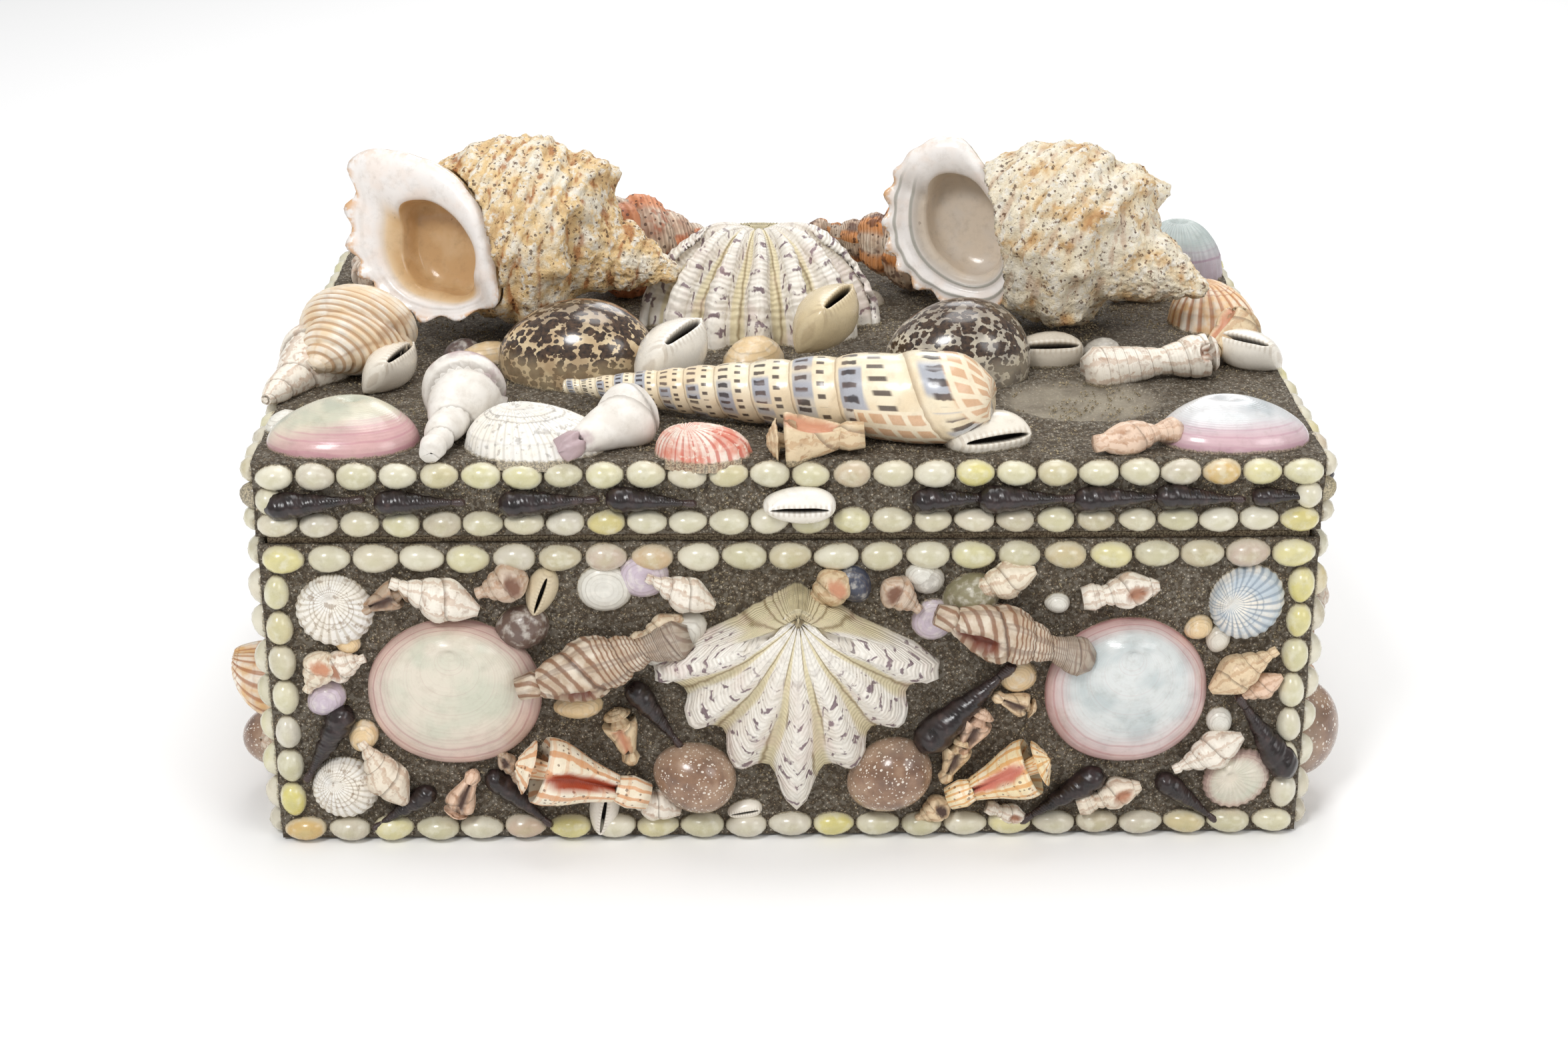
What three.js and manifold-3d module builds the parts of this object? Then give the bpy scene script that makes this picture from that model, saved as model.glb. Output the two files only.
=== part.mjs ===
// A keepsake box of softwood boards with a loose lid, coated in sanded mortar
// and covered all over with sea shells.
// Millimetres, +Z up, +X to the right, the front looks along -Y.
// The origin is the middle of the underside.

import * as THREE from "three";
import { mergeVertices } from "three/addons/utils/BufferGeometryUtils.js";
import Module from "manifold-3d";

const wasm = await Module();
wasm.setup();

// ---- driving dimensions ----
const GAP = 0.3; // left between pieces that only touch
const BOX_LENGTH = 476; // outside of the boards, along X
const BOX_DEPTH = 326; // outside of the boards, along Y
const BOX_HEIGHT = 155.5; // rim of the box walls
const BOARD = 9; // thickness of the wall boards and the bottom
const LID_BOARD = 8; // thickness of the lid's top board
const LID_TOP = 189.5; // upper face of the lid's top board
const TONGUE = 4.5; // width and height of the lip that keys the lid
const COAT = 4; // thickness of the mortar
const COAT_FOOT = 1; // the mortar stops short of the floor
const RIM_STRIP = 2; // bare board left along the rim of box and lid
const ROW_OUT = 8; // how far a money cowrie stands out of the mortar
const ROW_NECK = 0.42; // thickness of a row where two cowries meet
const PITCH = { lid: 18.6, box: 20.6, column: 18 }; // wanted length of one cowrie in a row

const LID_BOTTOM = BOX_HEIGHT + GAP;
const HALF_X = BOX_LENGTH / 2;
const HALF_Y = BOX_DEPTH / 2;
const FACE_X = HALF_X + COAT; // mortar surface of the ends
const FACE_Y = HALF_Y + COAT; // mortar surface of front and back
const LID_FACE = LID_TOP + COAT; // mortar surface on top of the lid

const root = new THREE.Group();

// ---- finishes ----
const finish = (color, roughness) =>
  new THREE.MeshStandardMaterial({ color, roughness, metalness: 0 });
const FINISHES = {
  wood: () => finish(0x5a2f22, 0.6),
  mortar: () => finish(0x6f6656, 0.95),
  moneyCowrie: () => finish(0xd3cfa0, 0.25),
  frogShell: () => finish(0xe3c9a2, 0.6),
  triton: () => finish(0xb98a70, 0.5),
  tigerCowrie: () => finish(0x8d7f6c, 0.2),
  bearPaw: () => finish(0xded5c0, 0.55),
  marlinspike: () => finish(0xe0d0b8, 0.35),
  ribbedShell: () => finish(0xd9bd96, 0.5),
  paleClam: () => finish(0xdcd8cc, 0.3),
  brownShell: () => finish(0x9a755e, 0.3),
  whelk: () => finish(0xa88a76, 0.45),
  coneShell: () => finish(0xe6d2b2, 0.3),
  whiteCowrie: () => finish(0xefeae2, 0.25),
};

// ---- solids ----

// A closed geometry as a solid, facing out whichever way its faces were wound.
function solidOf(geometry) {
  const bare = new THREE.BufferGeometry();
  bare.setAttribute("position", geometry.getAttribute("position").clone());
  if (geometry.index) bare.setIndex(geometry.index.clone());
  const merged = mergeVertices(bare, 1e-3);
  const faces = [];
  for (let i = 0; i < merged.index.count; i += 3) {
    const [a, b, c] = [0, 1, 2].map((k) => merged.index.getX(i + k));
    if (a !== b && b !== c && a !== c) faces.push([a, b, c]);
  }
  const make = (list) =>
    new wasm.Manifold(
      new wasm.Mesh({
        numProp: 3,
        vertProperties: merged.attributes.position.array,
        triVerts: new Uint32Array(list.flat()),
      }),
    );
  const solid = make(faces);
  return solid.volume() < 0 ? make(faces.map(([a, b, c]) => [a, c, b])) : solid;
}

// A solid as a geometry to draw.
function geometryOf(solid) {
  const mesh = solid.getMesh();
  const points = [];
  for (let i = 0; i < mesh.numVert; i++) {
    const at = i * mesh.numProp;
    points.push(...mesh.vertProperties.subarray(at, at + 3));
  }
  return new THREE.BufferGeometry()
    .setAttribute("position", new THREE.Float32BufferAttribute(points, 3))
    .setIndex(new THREE.BufferAttribute(new Uint32Array(mesh.triVerts), 1));
}

const moved = (solid, matrix) => solidOf(geometryOf(solid).applyMatrix4(matrix));

// A board or block between two opposite corners.
function block(low, high) {
  const size = low.map((value, i) => high[i] - value);
  const middle = low.map((value, i) => (high[i] + value) / 2);
  return solidOf(new THREE.BoxGeometry(...size).translate(...middle));
}

// A skin stretched over a run of rings. A ring is a list of points, or one point
// for a closed tip. The first and last rings are filled from their middle.
function loft(rings) {
  const around = Math.max(...rings.map((ring) => ring.length));
  const points = [];
  const faces = [];
  const starts = rings.map((ring) => {
    const start = points.length / 3;
    ring.forEach((point) => points.push(point.x, point.y, point.z));
    return start;
  });
  const at = (ring, i) => starts[ring] + (rings[ring].length === 1 ? 0 : i % around);
  for (let r = 0; r + 1 < rings.length; r++) {
    for (let i = 0; i < around; i++) {
      faces.push([at(r, i), at(r + 1, i), at(r + 1, i + 1)]);
      faces.push([at(r, i), at(r + 1, i + 1), at(r, i + 1)]);
    }
  }
  const cap = (ring, flip) => {
    if (rings[ring].length === 1) return;
    const middle = points.length / 3;
    const centre = rings[ring]
      .reduce((sum, point) => sum.add(point), new THREE.Vector3())
      .divideScalar(around);
    points.push(centre.x, centre.y, centre.z);
    for (let i = 0; i < around; i++) {
      const [a, b] = [at(ring, i), at(ring, i + 1)];
      faces.push(flip ? [middle, b, a] : [middle, a, b]);
    }
  };
  cap(0, false);
  cap(rings.length - 1, true);
  const geometry = new THREE.BufferGeometry()
    .setAttribute("position", new THREE.Float32BufferAttribute(points, 3))
    .setIndex(faces.flat());
  return solidOf(geometry);
}

// ---- the surfaces that shells are bedded on: u and v lie in the surface, w points out ----
function surface(origin, u, v, w) {
  return new THREE.Matrix4()
    .makeBasis(new THREE.Vector3(...u), new THREE.Vector3(...v), new THREE.Vector3(...w))
    .setPosition(...origin);
}
const SURFACES = {
  front: surface([0, -FACE_Y, 0], [1, 0, 0], [0, 0, 1], [0, -1, 0]),
  back: surface([0, FACE_Y, 0], [-1, 0, 0], [0, 0, 1], [0, 1, 0]),
  left: surface([-FACE_X, 0, 0], [0, -1, 0], [0, 0, 1], [-1, 0, 0]),
  right: surface([FACE_X, 0, 0], [0, 1, 0], [0, 0, 1], [1, 0, 0]),
  top: surface([0, 0, LID_FACE], [1, 0, 0], [0, 1, 0], [0, 0, 1]),
};

const place = (name, solid, material) => {
  const mesh = new THREE.Mesh(geometryOf(solid), FINISHES[material]());
  mesh.name = name;
  root.add(mesh);
};

// ---- boards ----

// The box: a bottom let in between four walls. The inner half of each wall stands up as a
// tongue that keys the lid.
function addBoxBoards() {
  const innerX = HALF_X - BOARD;
  const innerY = HALF_Y - BOARD;
  const tongueX = HALF_X - TONGUE;
  const tongueY = HALF_Y - TONGUE;
  const lip = BOX_HEIGHT + TONGUE;
  place("box_bottom_board", block([-innerX, -innerY, 0], [innerX, innerY, BOARD]), "wood");
  for (const [name, side] of [["front", -1], ["back", 1]]) {
    const [low, high] = side < 0 ? [-HALF_Y, -innerY] : [innerY, HALF_Y];
    const [lipLow, lipHigh] = side < 0 ? [-tongueY, -innerY] : [innerY, tongueY];
    const wall = block([-HALF_X, low, 0], [HALF_X, high, BOX_HEIGHT]);
    const tongue = block([-tongueX, lipLow, BOX_HEIGHT - 1], [tongueX, lipHigh, lip]);
    place("box_" + name + "_board", wall.add(tongue), "wood");
  }
  for (const [name, side] of [["left", -1], ["right", 1]]) {
    const [low, high] = side < 0 ? [-HALF_X, -innerX] : [innerX, HALF_X];
    const [lipLow, lipHigh] = side < 0 ? [-tongueX, -innerX] : [innerX, tongueX];
    const wall = block([low, -innerY, 0], [high, innerY, BOX_HEIGHT]);
    const tongue = block([lipLow, -innerY, BOX_HEIGHT - 1], [lipHigh, innerY, lip]);
    place("box_" + name + "_board", wall.add(tongue), "wood");
  }
}

// The lid: a top board on four rails, each rebated inside for the tongue of the box.
function addLidBoards() {
  const under = LID_TOP - LID_BOARD;
  const innerX = HALF_X - BOARD;
  const innerY = HALF_Y - BOARD;
  const rebate = block(
    [-(HALF_X - TONGUE) - GAP, -(HALF_Y - TONGUE) - GAP, LID_BOTTOM - 1],
    [HALF_X - TONGUE + GAP, HALF_Y - TONGUE + GAP, BOX_HEIGHT + TONGUE + GAP],
  );
  place("lid_top_board", block([-HALF_X, -HALF_Y, under], [HALF_X, HALF_Y, LID_TOP]), "wood");
  const rails = {
    front: block([-HALF_X, -HALF_Y, LID_BOTTOM], [HALF_X, -innerY, under]),
    back: block([-HALF_X, innerY, LID_BOTTOM], [HALF_X, HALF_Y, under]),
    left: block([-HALF_X, -innerY, LID_BOTTOM], [-innerX, innerY, under]),
    right: block([innerX, -innerY, LID_BOTTOM], [HALF_X, innerY, under]),
  };
  for (const [name, rail] of Object.entries(rails)) {
    place("lid_" + name + "_rail", rail.subtract(rebate), "wood");
  }
}

// The mortar: a sleeve round the box, and a tray turned over the lid.
function addMortar() {
  const boards = (low, high) => block([-HALF_X, -HALF_Y, low], [HALF_X, HALF_Y, high]);
  const sleeve = (low, high) => block([-FACE_X, -FACE_Y, low], [FACE_X, FACE_Y, high]);
  const boxTop = BOX_HEIGHT - RIM_STRIP;
  const lidFoot = LID_BOTTOM + RIM_STRIP;
  place("box_mortar_coat", sleeve(COAT_FOOT, boxTop).subtract(boards(0, BOX_HEIGHT)), "mortar");
  place("lid_mortar_coat", sleeve(lidFoot, LID_FACE).subtract(boards(0, LID_TOP)), "mortar");
}

// ---- rows of money cowries ----

// Cowries touching end to end from one point of a surface to another: each swells from a
// neck to its full section and back. The section is a flat-based half hexagon, or a plain
// ridge where the row is crowned less.
function cowrieRow(from, to, pitch, width, crowned) {
  const run = new THREE.Vector2().subVectors(to, from);
  const count = Math.round(run.length() / pitch);
  const along = run.clone().normalize();
  const across = new THREE.Vector2(-along.y, along.x);
  const rings = [];
  for (let i = 0; i <= 2 * count; i++) {
    const swell = i % 2 ? 1 + 0.06 * Math.sin(2.4 * i) : ROW_NECK;
    const middle = from.clone().addScaledVector(run, i / (2 * count));
    const half = (width / 2) * swell;
    const out = Math.min(ROW_OUT, ROW_OUT * swell);
    const crown = crowned ? [[-half / 2, out], [half / 2, out]] : [[0, out]];
    const section = [[-half, GAP], ...crown, [half, GAP]];
    rings.push(
      section.map(([side, height]) => {
        const point = middle.clone().addScaledVector(across, side);
        return new THREE.Vector3(point.x, point.y, height);
      }),
    );
  }
  return loft(rings);
}

const ROW_HEIGHTS = { lid: { upper: 186.9, lower: 163.9 }, box: { upper: 146.6, lower: 6.9 } };
const ROW_WIDTHS = { lid: { upper: 12.6, lower: 12 }, box: { upper: 13.4, lower: 12.4 } };
const ROW_ENDS = { front: FACE_X - 1, back: FACE_X - 1, left: FACE_Y - 1, right: FACE_Y - 1 };
const COLUMN_INSET = 7; // from the corner of the mortar to the middle of a column
const COLUMN_WIDTH = 12.6;

function addRow(name, row) {
  placed.push(keepRoom(row));
  place(name, row, "moneyCowrie");
}

function addCowrieRows() {
  const point = (u, v) => new THREE.Vector2(u, v);
  for (const [face, end] of Object.entries(ROW_ENDS)) {
    for (const part of ["lid", "box"]) {
      for (const level of ["upper", "lower"]) {
        const height = ROW_HEIGHTS[part][level];
        const width = ROW_WIDTHS[part][level];
        const ends = [point(-end, height), point(end, height)];
        const row = cowrieRow(...ends, PITCH[part], width, face === "front");
        const name = [part, face, level, "cowrie_row"].join("_");
        addRow(name, moved(row, SURFACES[face]));
      }
    }
    const low = ROW_HEIGHTS.box.lower + ROW_WIDTHS.box.lower / 2 + GAP * 2;
    const high = ROW_HEIGHTS.box.upper - ROW_WIDTHS.box.upper / 2 - GAP * 2;
    for (const [hand, side] of [["left", -1], ["right", 1]]) {
      const u = side * (end + 1 - COLUMN_INSET);
      const ends = [point(u, low), point(u, high)];
      const column = cowrieRow(...ends, PITCH.column, COLUMN_WIDTH, face === "front");
      const name = ["box", face, hand, "cowrie_column"].join("_");
      addRow(name, moved(column, SURFACES[face]));
    }
  }
}

// ---- shells, each made in its surface's u, v, w ----

const TURN = 2 * Math.PI;

// A domed shell: rings spread from an apex to an outline on the bed. reach(angle) is the
// outline's distance from the apex and fold(angle) lifts or lowers the ribs.
function domed({ apex, reach, height, around, rings = 3, full = 0.5, fold = () => 0 }) {
  const skins = [[new THREE.Vector3(apex[0], apex[1], height)]];
  for (let r = 1; r <= rings; r++) {
    const share = r / rings;
    const level = Math.max(0, Math.pow(1 - Math.pow(share, 2), full));
    const ring = [];
    for (let i = 0; i < around; i++) {
      const angle = (TURN * i) / around;
      const far = reach(angle) * share;
      const lift = r < rings ? 1 + fold(angle) : 1;
      ring.push(
        new THREE.Vector3(
          apex[0] + far * Math.cos(angle),
          apex[1] + far * Math.sin(angle),
          GAP + (height - GAP) * level * lift,
        ),
      );
    }
    skins.push(ring);
  }
  return loft(skins);
}

// Distance from a point inside an ellipse to its edge, in the direction of an angle.
function ellipseReach(halfU, halfV, offU = 0, offV = 0) {
  return (angle) => {
    const [c, s] = [Math.cos(angle), Math.sin(angle)];
    const a = (c / halfU) ** 2 + (s / halfV) ** 2;
    const b = 2 * ((offU * c) / halfU ** 2 + (offV * s) / halfV ** 2);
    const k = (offU / halfU) ** 2 + (offV / halfV) ** 2 - 1;
    return (-b + Math.sqrt(b * b - 4 * a * k)) / (2 * a);
  };
}

// An egg, dish or pebble shell lying on the bed.
function dish({ at, half, height, turn = 0, off = [0, 0], around = 16, rings = 3, full }) {
  const flat = domed({
    apex: off,
    reach: ellipseReach(half[0], half[1], off[0], off[1]),
    height,
    around,
    rings,
    full,
  });
  const matrix = new THREE.Matrix4().makeRotationZ(turn).setPosition(at[0], at[1], 0);
  return moved(flat, matrix);
}

// A ribbed fan opening from its umbo: spread is half the angle of the fan, facing is the
// direction of its middle, back is how far it reaches behind the umbo, and pointed turns its
// round margin into two straight ones that meet in a corner.
function fan({ umbo, facing, spread, long, wide, back, pointed, height, ribs, around = 36 }) {
  const reach = (angle) => {
    let off = Math.abs(angle - facing) % TURN;
    if (off > Math.PI) off = TURN - off;
    if (off > spread) {
      const behind = Math.min(1, (off - spread) / (Math.PI - spread));
      return THREE.MathUtils.lerp(wide, back, Math.sin((behind * Math.PI) / 2));
    }
    const side = off / spread;
    const scallop = 1 + 0.04 * Math.cos((side * Math.PI * ribs) / 2);
    const arc = THREE.MathUtils.lerp(long, wide, side * side);
    const chord = (long * wide * Math.sin(spread)) /
      (long * Math.sin(off) + wide * Math.sin(spread - off));
    return THREE.MathUtils.lerp(arc, chord, pointed) * scallop;
  };
  const fold = (angle) => {
    const off = Math.atan2(Math.sin(angle - facing), Math.cos(angle - facing));
    return Math.abs(off) > spread ? 0 : 0.16 * Math.cos((off / spread) * Math.PI * ribs / 2);
  };
  return domed({ apex: umbo, reach, height, around, rings: 4, full: 0.75, fold });
}

// A spired shell from its tip to its butt: whorls step out along a cone, then the last whorl
// tapers to the siphon over its closing share.
function spired({ tip, butt, radius, whorls, step = 0.12, body = 0.6, siphon = 0.25, around = 9 }) {
  const from = new THREE.Vector3(...tip);
  const axis = new THREE.Vector3(...butt).sub(from);
  const length = axis.length();
  const profile = [new THREE.Vector2(0, 0)];
  for (let k = 1; k <= whorls; k++) {
    const share = (k / whorls) * body;
    const cone = radius * Math.pow(k / whorls, 0.9);
    profile.push(new THREE.Vector2(cone, length * (share - (0.35 * body) / whorls)));
    profile.push(new THREE.Vector2(cone * (1 - step), length * share));
  }
  profile.pop();
  profile.push(new THREE.Vector2(radius * 0.92, length * (body + (1 - body) * 0.35)));
  profile.push(new THREE.Vector2(radius * siphon, length));
  profile.push(new THREE.Vector2(0, length));
  const lathe = new THREE.LatheGeometry(profile, around);
  const swing = new THREE.Quaternion().setFromUnitVectors(
    new THREE.Vector3(0, 1, 0),
    axis.clone().normalize(),
  );
  const size = new THREE.Vector3(1, 1, 1);
  return moved(solidOf(lathe), new THREE.Matrix4().compose(from, swing, size));
}

// A frog shell: a knobbly body on its side with a short spire at one end, and a flared lip
// round a shallow mouth.
function frogShell({ body, half, spireTip, mouth, facing, lip, lean }) {
  const ball = new THREE.SphereGeometry(1, 12, 9);
  const spot = ball.getAttribute("position");
  for (let i = 0; i < spot.count; i++) {
    const point = new THREE.Vector3().fromBufferAttribute(spot, i);
    const knob = 1 + 0.06 * Math.cos(7 * Math.atan2(point.z, point.y)) * Math.cos(9 * point.x);
    point.multiply(new THREE.Vector3(...half)).multiplyScalar(knob);
    spot.setXYZ(i, point.x, point.y, point.z);
  }
  const whorl = moved(solidOf(ball), new THREE.Matrix4().makeTranslation(...body));
  const spire = spired({
    tip: spireTip,
    butt: body,
    radius: Math.min(...half) * 0.78,
    whorls: 3,
    body: 0.75,
    around: 10,
  });
  const out = new THREE.Vector3(...facing).normalize();
  const swing = new THREE.Quaternion()
    .setFromUnitVectors(new THREE.Vector3(0, 1, 0), out)
    .multiply(new THREE.Quaternion().setFromAxisAngle(new THREE.Vector3(0, 1, 0), lean));
  const pose = new THREE.Matrix4().compose(
    new THREE.Vector3(...mouth),
    swing,
    new THREE.Vector3(1, 1, 1),
  );
  const turned = (outline) => {
    const shape = new THREE.LatheGeometry(outline.map(([r, y]) => new THREE.Vector2(r, y)), 16);
    return moved(solidOf(shape.scale(1, 1, lip.squash)), pose);
  };
  const { radius, deep, hole } = lip;
  const flare = turned([
    [0, -deep], [radius * 0.62, -deep], [radius * 0.8, -deep * 0.45],
    [radius, -2], [radius * 0.97, 2], [0, 2],
  ]);
  const recess = turned([[0, -deep * 0.7], [hole * 0.6, -deep * 0.55], [hole, 3], [0, 3]]);
  return whorl.add(spire).add(flare).subtract(recess);
}

const largest = (solid) =>
  solid.decompose().reduce((best, one) => (one.volume() > best.volume() ? one : best));

// What lies under the bed is cut off, a little above the mortar.
const BELOW = block([-400, -400, -200], [400, 400, GAP]);

// Room kept round a shell that its neighbours are cut back from.
function swollen(solid) {
  const geometry = geometryOf(solid);
  geometry.computeBoundingBox();
  const middle = geometry.boundingBox.getCenter(new THREE.Vector3());
  const size = geometry.boundingBox.getSize(new THREE.Vector3());
  const grow = size.clone().addScalar(4 * GAP).divide(size);
  geometry.translate(-middle.x, -middle.y, -middle.z).scale(grow.x, grow.y, grow.z);
  geometry.translate(middle.x, middle.y, middle.z);
  return solid.add(solidOf(geometry));
}

// A placed solid's box, a little enlarged, and its room.
function keepRoom(solid) {
  const spots = geometryOf(solid).getAttribute("position");
  const box = new THREE.Box3().setFromBufferAttribute(spots).expandByScalar(1);
  return { box, room: swollen(solid) };
}

const placed = [];

// Beds a shell on a surface, cut flat below and cut back from the shells placed before it.
function bed(name, face, material, shell) {
  let solid = moved(shell.subtract(BELOW), SURFACES[face]);
  const box = new THREE.Box3().setFromBufferAttribute(geometryOf(solid).getAttribute("position"));
  for (const other of placed) {
    if (box.intersectsBox(other.box)) solid = solid.subtract(other.room);
  }
  solid = largest(solid);
  placed.push(keepRoom(solid));
  place(name, solid, material);
}

// ---- the shells on the lid: u is X, v is Y, w is height over the mortar ----
function addLidShells() {
  bed("frog_shell_left", "top", "frogShell", frogShell({
    body: [-128, 30, 52], half: [46, 40, 47], spireTip: [-52, 12, 22],
    mouth: [-182, -6, 50], facing: [-0.42, -0.86, 0.28], lean: 0.6,
    lip: { radius: 46, squash: 0.86, deep: 42, hole: 25 },
  }));
  bed("frog_shell_right", "top", "frogShell", frogShell({
    body: [150, 22, 50], half: [47, 38, 46], spireTip: [214, -30, 12],
    mouth: [84, 18, 50], facing: [-0.38, -0.9, 0.22], lean: -0.5,
    lip: { radius: 43, squash: 0.84, deep: 40, hole: 24 },
  }));
  bed("triton_left", "top", "triton", spired({
    tip: [-20, 97, 22], butt: [-104, 70, 30], radius: 27, whorls: 5, body: 0.7,
  }));
  bed("triton_right", "top", "triton", spired({
    tip: [14, 94, 30], butt: [92, 66, 24], radius: 24, whorls: 5, body: 0.7,
  }));
  bed("marlinspike", "top", "marlinspike", spired({
    tip: [-106, -93, 8], butt: [92, -154, 22], radius: 24, whorls: 9, step: 0.08, body: 0.78,
    siphon: 0.35, around: 10,
  }));
  bed("bear_paw_lid", "top", "bearPaw", fan({
    umbo: [-12, 34], facing: 1.5 * Math.PI, spread: 1.4, long: 56, wide: 66, back: 14,
    pointed: 0, height: 47, ribs: 6,
  }));
  bed("tiger_cowrie_left", "top", "tigerCowrie", dish({
    at: [-102, -52], half: [39, 27], height: 38, turn: -0.1, off: [-4, 0], rings: 4,
  }));
  bed("tiger_cowrie_right", "top", "tigerCowrie", dish({
    at: [84, -54], half: [36, 27], height: 38, turn: 0.08, off: [4, 0], rings: 4,
  }));
  bed("tun_shell", "top", "ribbedShell", dish({
    at: [-209, -48], half: [30, 27], height: 44, turn: 0.4, off: [4, 4], rings: 4,
  }));
  bed("tellin_lid_left", "top", "paleClam", dish({
    at: [-204, -141], half: [36, 23], height: 18, turn: -0.08, off: [2, 6], around: 18,
  }));
  bed("tellin_lid_right", "top", "paleClam", dish({
    at: [204, -143], half: [36, 21], height: 17, turn: 0.06, off: [-2, 5], around: 18,
  }));
}

// ---- the shells on the front panel: u is X, v is Z, w is distance out of the mortar ----
function addFrontShells() {
  bed("bear_paw_front", "front", "bearPaw", fan({
    umbo: [3, 118], facing: 1.5 * Math.PI, spread: 1.12, long: 98, wide: 76, back: 9,
    pointed: 0.72, height: 30, ribs: 6,
  }));
  bed("panel_clam_left", "front", "paleClam", dish({
    at: [-156, 79], half: [40.5, 37.5], height: 17, off: [0, 12], around: 20,
  }));
  bed("panel_clam_right", "front", "paleClam", dish({
    at: [157, 77], half: [38, 37.5], height: 17, off: [0, 12], around: 20,
  }));
  bed("whelk_left", "front", "whelk", spired({
    tip: [-40, 116, 8], butt: [-126, 88, 14], radius: 17, whorls: 4, body: 0.55,
  }));
  bed("whelk_right", "front", "whelk", spired({
    tip: [146, 94, 10], butt: [66, 120, 10], radius: 17, whorls: 4, body: 0.55,
  }));
  bed("cone_left", "front", "coneShell", spired({
    tip: [-129, 48, 14], butt: [-66, 25, 6], radius: 18, whorls: 2, body: 0.28, siphon: 0.2,
  }));
  bed("cone_right", "front", "coneShell", spired({
    tip: [122, 46, 12], butt: [74, 22, 6], radius: 17, whorls: 2, body: 0.28, siphon: 0.2,
  }));
  bed("brown_cowrie_left", "front", "brownShell", dish({
    at: [-45, 34], half: [20.5, 17], height: 20, turn: -0.35, around: 14,
  }));
  bed("brown_cowrie_right", "front", "brownShell", dish({
    at: [47, 35], half: [21, 17.5], height: 20, turn: 0.5, around: 14,
  }));
  bed("thumb_cowrie", "front", "whiteCowrie", dish({
    at: [4, 173.6], half: [16.5, 9.2], height: 14, off: [1, 0], around: 12,
  }));
}

// ---- the larger shells on the ends: v is Z, u runs along the face ----
function addEndShells() {
  bed("end_shell_left_upper", "left", "brownShell", dish({
    at: [120, 62], half: [22, 20], height: 26, around: 14,
  }));
  bed("end_shell_left_lower", "left", "brownShell", dish({
    at: [116, 32], half: [21, 17], height: 25, around: 14, turn: 0.3,
  }));
  bed("end_cowrie_right", "right", "brownShell", dish({
    at: [-132, 37], half: [20, 27], height: 26, around: 14, turn: 0.15,
  }));
}

addBoxBoards();
addLidBoards();
addMortar();
addCowrieRows();
addLidShells();
addFrontShells();
addEndShells();

export default root;
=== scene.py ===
"""A keepsake box of wood with a loose lid, bedded all over with sea shells in sanded mortar."""

import math
import random

import bpy
import numpy as np
from mathutils import Matrix, Vector


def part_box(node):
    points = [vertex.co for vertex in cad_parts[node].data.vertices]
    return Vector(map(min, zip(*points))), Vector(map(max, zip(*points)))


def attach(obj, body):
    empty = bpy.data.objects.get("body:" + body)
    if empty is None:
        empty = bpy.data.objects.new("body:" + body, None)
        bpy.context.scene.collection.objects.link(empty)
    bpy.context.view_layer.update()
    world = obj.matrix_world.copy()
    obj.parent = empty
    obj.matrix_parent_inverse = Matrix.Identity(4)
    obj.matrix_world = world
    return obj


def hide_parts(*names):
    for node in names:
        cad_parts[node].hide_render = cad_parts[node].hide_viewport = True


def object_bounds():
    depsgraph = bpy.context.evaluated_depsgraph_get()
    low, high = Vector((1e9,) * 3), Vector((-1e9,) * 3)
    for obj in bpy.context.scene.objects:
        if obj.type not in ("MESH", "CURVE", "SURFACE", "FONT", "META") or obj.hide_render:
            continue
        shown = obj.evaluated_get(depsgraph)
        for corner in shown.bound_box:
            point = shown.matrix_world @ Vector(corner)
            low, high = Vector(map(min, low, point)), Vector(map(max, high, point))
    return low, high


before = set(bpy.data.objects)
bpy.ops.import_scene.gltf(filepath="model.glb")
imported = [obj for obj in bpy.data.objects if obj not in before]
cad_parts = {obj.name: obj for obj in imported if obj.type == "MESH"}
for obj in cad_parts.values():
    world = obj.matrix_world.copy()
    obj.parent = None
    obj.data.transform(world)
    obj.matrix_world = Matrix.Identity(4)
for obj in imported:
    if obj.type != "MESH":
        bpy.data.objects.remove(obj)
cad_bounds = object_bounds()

MM = 0.001
TURN = 2 * math.pi
SINK = 1.6  # how deep the rim of each shell is bedded in the mortar, mm
random.seed(1871)


# ------------------------------------------------------------------ the faces of the box

BOX_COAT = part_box("box_mortar_coat")
LID_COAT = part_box("lid_mortar_coat")
FACE_X = BOX_COAT[1].x
FACE_Y = BOX_COAT[1].y
LID_FACE = LID_COAT[1].z


def face_matrix(origin, u, v, w):
    rows = [(u[i] * MM, v[i] * MM, w[i] * MM, origin[i]) for i in range(3)]
    return Matrix((*rows, (0, 0, 0, 1)))


# u and v lie in a face, w points out of its mortar, all three in millimetres.
FACES = {
    "front": face_matrix((0, -FACE_Y, 0), (1, 0, 0), (0, 0, 1), (0, -1, 0)),
    "back": face_matrix((0, FACE_Y, 0), (-1, 0, 0), (0, 0, 1), (0, 1, 0)),
    "left": face_matrix((-FACE_X, 0, 0), (0, -1, 0), (0, 0, 1), (-1, 0, 0)),
    "right": face_matrix((FACE_X, 0, 0), (0, 1, 0), (0, 0, 1), (1, 0, 0)),
    "top": face_matrix((0, 0, LID_FACE), (1, 0, 0), (0, 1, 0), (0, 0, 1)),
}
HALF_RUN = {"front": FACE_X / MM, "back": FACE_X / MM, "left": FACE_Y / MM, "right": FACE_Y / MM}


def span(node, face):
    """The lowest and highest corner of a CAD node in a face's u, v, w."""
    to_face = FACES[face].inverted()
    ends = [to_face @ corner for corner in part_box(node)]
    low = Vector([min(a, b) for a, b in zip(*ends)])
    high = Vector([max(a, b) for a, b in zip(*ends)])
    return low, high


# ------------------------------------------------------------------ hand tools


def deselect():
    bpy.ops.object.select_all(action="DESELECT")


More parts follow.
